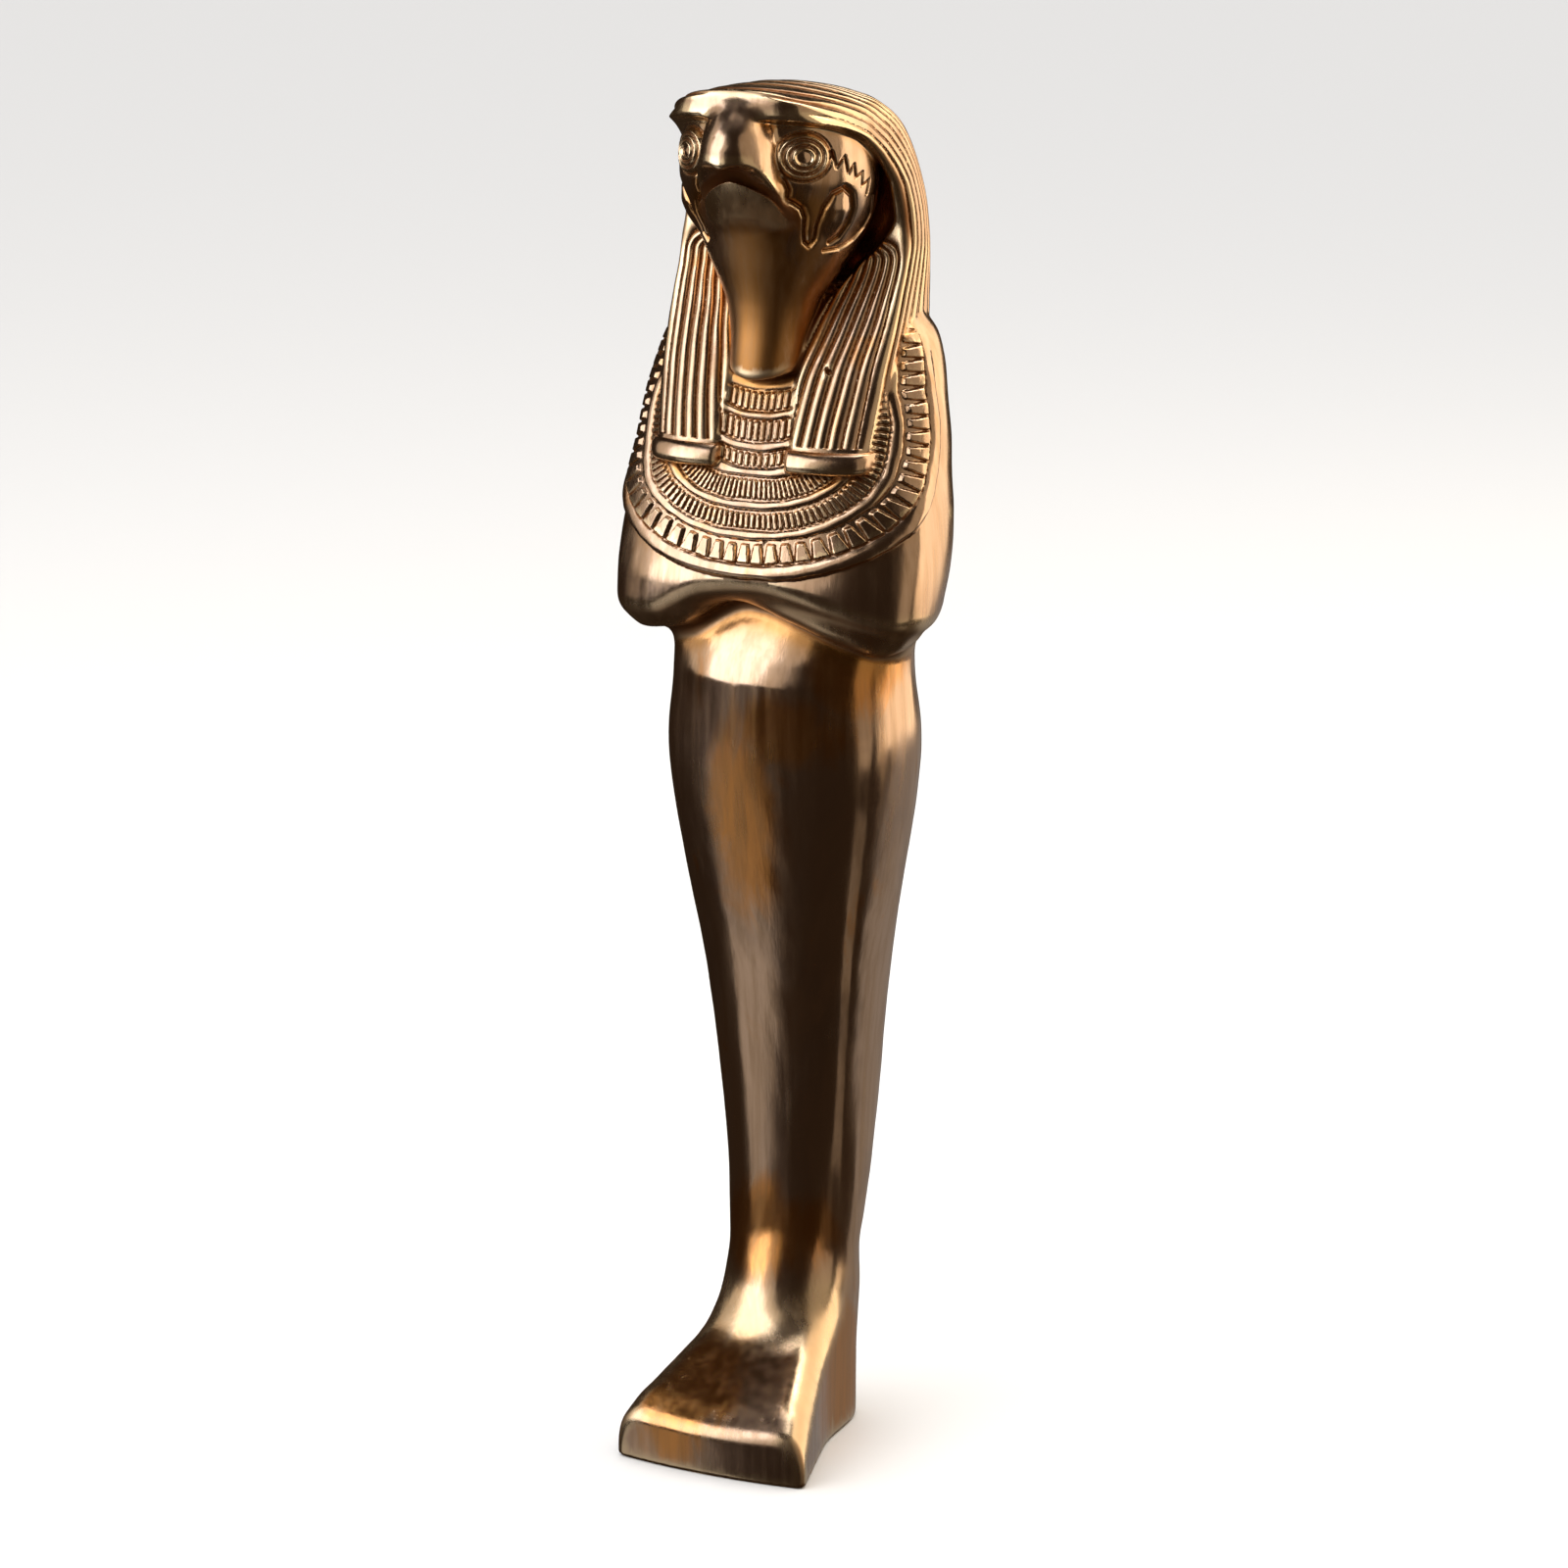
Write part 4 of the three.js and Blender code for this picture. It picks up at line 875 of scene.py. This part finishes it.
# The throat is duller and browner than the rest
dull = patch((0.003, -0.030, 0.422), (0.030, 0.030, 0.046), 0.3)
colour = tint(maths("MULTIPLY", dull, 0.85), colour, DULL_BROWN)
colour = tint(span(brushed, 0.35, 0.7, 0, 0.4), colour, BRUSHED_BROWN)
# The hollows turn orange: patina, and painted shade in the creases between the forms
colour = tint(span(hollow_patina_and_shade, 0.1, 0.75, 0, 0.85), colour, HOLLOW_ORANGE_PATINA_AND_SHADE)
colour = tint(span(proud_mark, 0.1, 0.6, 0, 0.85), colour, RUBBED_GOLD)
# The cuts turn brown: patina, and painted shade where the grooves close in
colour = tint(span(cut_patina_and_shade, 0.12, 0.7, 0, 0.92), colour, CUT_BROWN_PATINA_AND_SHADE)
link(colour, shader.inputs["Base Color"])
rough = maths("ADD", span(clouds, 0.4, 0.7, 0.14, 0.22), span(brushed, 0.3, 0.75, 0.0, 0.1))
rough = maths("ADD", rough, span(cut_patina_and_shade, 0.1, 0.7, 0.0, 0.3))
rough = maths("ADD", rough, maths("MULTIPLY", dull, 0.18))
link(rough, shader.inputs["Roughness"])
bump = node("Bump")
bump.inputs["Strength"].default_value = 0.16
bump.inputs["Distance"].default_value = 0.0003
link(maths("ADD", maths("MULTIPLY", brushed, 0.7), maths("MULTIPLY", fine, 0.3)), bump.inputs["Height"])
link(bump.outputs["Normal"], shader.inputs["Normal"])
mesh.materials.append(bronze)
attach(cast, "root")
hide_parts("falcon_figure")

# The floor: pale and plain, and so wide that it runs on behind the figure from every side. The polished metal
# mirrors the studio and not the floor.
FLOOR_RADIUS = 60
bpy.ops.mesh.primitive_circle_add(vertices=96, radius=FLOOR_RADIUS, fill_type="NGON", location=(0, 0, 0))
floor = bpy.context.object
floor.name = "floor"
floor.visible_glossy = False
floor.visible_shadow = False
pale = bpy.data.materials.new("pale_floor")
pale.use_nodes = True
pale_shader = pale.node_tree.nodes["Principled BSDF"]
pale_shader.inputs["Base Color"].default_value = (0.5, 0.495, 0.49, 1)
pale_shader.inputs["Roughness"].default_value = 0.7
floor.data.materials.append(pale)

# The camera, at the photograph's angle: 27 degrees round from the front, looking down on the figure
camera_data = bpy.data.cameras.new("camera")
camera_data.lens = 115.2
camera_data.sensor_width = 36
camera_data.shift_x = -0.0075
camera = bpy.data.objects.new("camera", camera_data)
camera.location = (0.8078, -1.571, 0.6768)
camera.rotation_euler = (math.radians(76.3), 0, math.radians(27))
bpy.context.collection.objects.link(camera)
bpy.context.scene.camera = camera

# The studio: large soft panels round a dim, warm room, and an even light from above that is for the floor
world = bpy.data.worlds.new("studio")
bpy.context.scene.world = world
world.use_nodes = True
background = world.node_tree.nodes["Background"]
background.inputs["Color"].default_value = (1, 0.66, 0.42, 1)
background.inputs["Strength"].default_value = 0.025
bpy.context.scene.view_settings.view_transform = "Standard"
PANELS_MIDDLE = 0.25


def panel(name, azimuth, elevation, away, width, height, brightness, colour=(1, 1, 1)):
    """A soft box that looks at the figure's middle from a direction, its brightness as seen from there."""
    a, e = math.radians(azimuth), math.radians(elevation)
    data = bpy.data.lights.new(name, "AREA")
    data.shape = "RECTANGLE"
    data.size, data.size_y = width, height
    data.energy = brightness * math.pi * width * height
    data.color = colour
    box = bpy.data.objects.new(name, data)
    flat_away = away * math.cos(e)
    box.location = (flat_away * math.sin(a), -flat_away * math.cos(a), PANELS_MIDDLE + away * math.sin(e))
    box.rotation_euler = (math.pi / 2 - e, 0, a)
    box.visible_camera = False
    bpy.context.collection.objects.link(box)


panel("window_right", 132, 26, 1.8, 2.4, 3.0, 1.7, (1, 0.86, 0.66))
panel("window_low", 159, -24, 1.8, 2.1, 0.9, 0.23)
panel("panel_right", 72, 18, 1.8, 1.4, 2.4, 0.36, (1, 0.86, 0.66))
panel("panel_back", 170, 72, 1.7, 1.2, 1.1, 1.7)
panel("panel_overhead", 180, 83, 1.6, 1.0, 1.1, 1.7)
panel("panel_front_left", -42, 25, 1.7, 1.3, 1.75, 1.7, (0.94, 1, 1.12))
panel("panel_front_glow", -44, 25.5, 1.85, 3.1, 1.9, 0.62, (1, 0.94, 0.84))
panel("panel_low_left", -42, -32, 1.7, 0.8, 1.1, 0.33)
panel("panel_low_right", 74, -37, 1.6, 0.9, 0.45, 0.16, (1, 0.9, 0.75))
sky = bpy.data.lights.new("floor_light", "SUN")
sky.energy = 5.5
sky.angle = math.radians(100)
lamp = bpy.data.objects.new("floor_light", sky)
lamp.rotation_euler = (math.radians(8), math.radians(-14), 0)
lamp.visible_glossy = False
bpy.context.collection.objects.link(lamp)
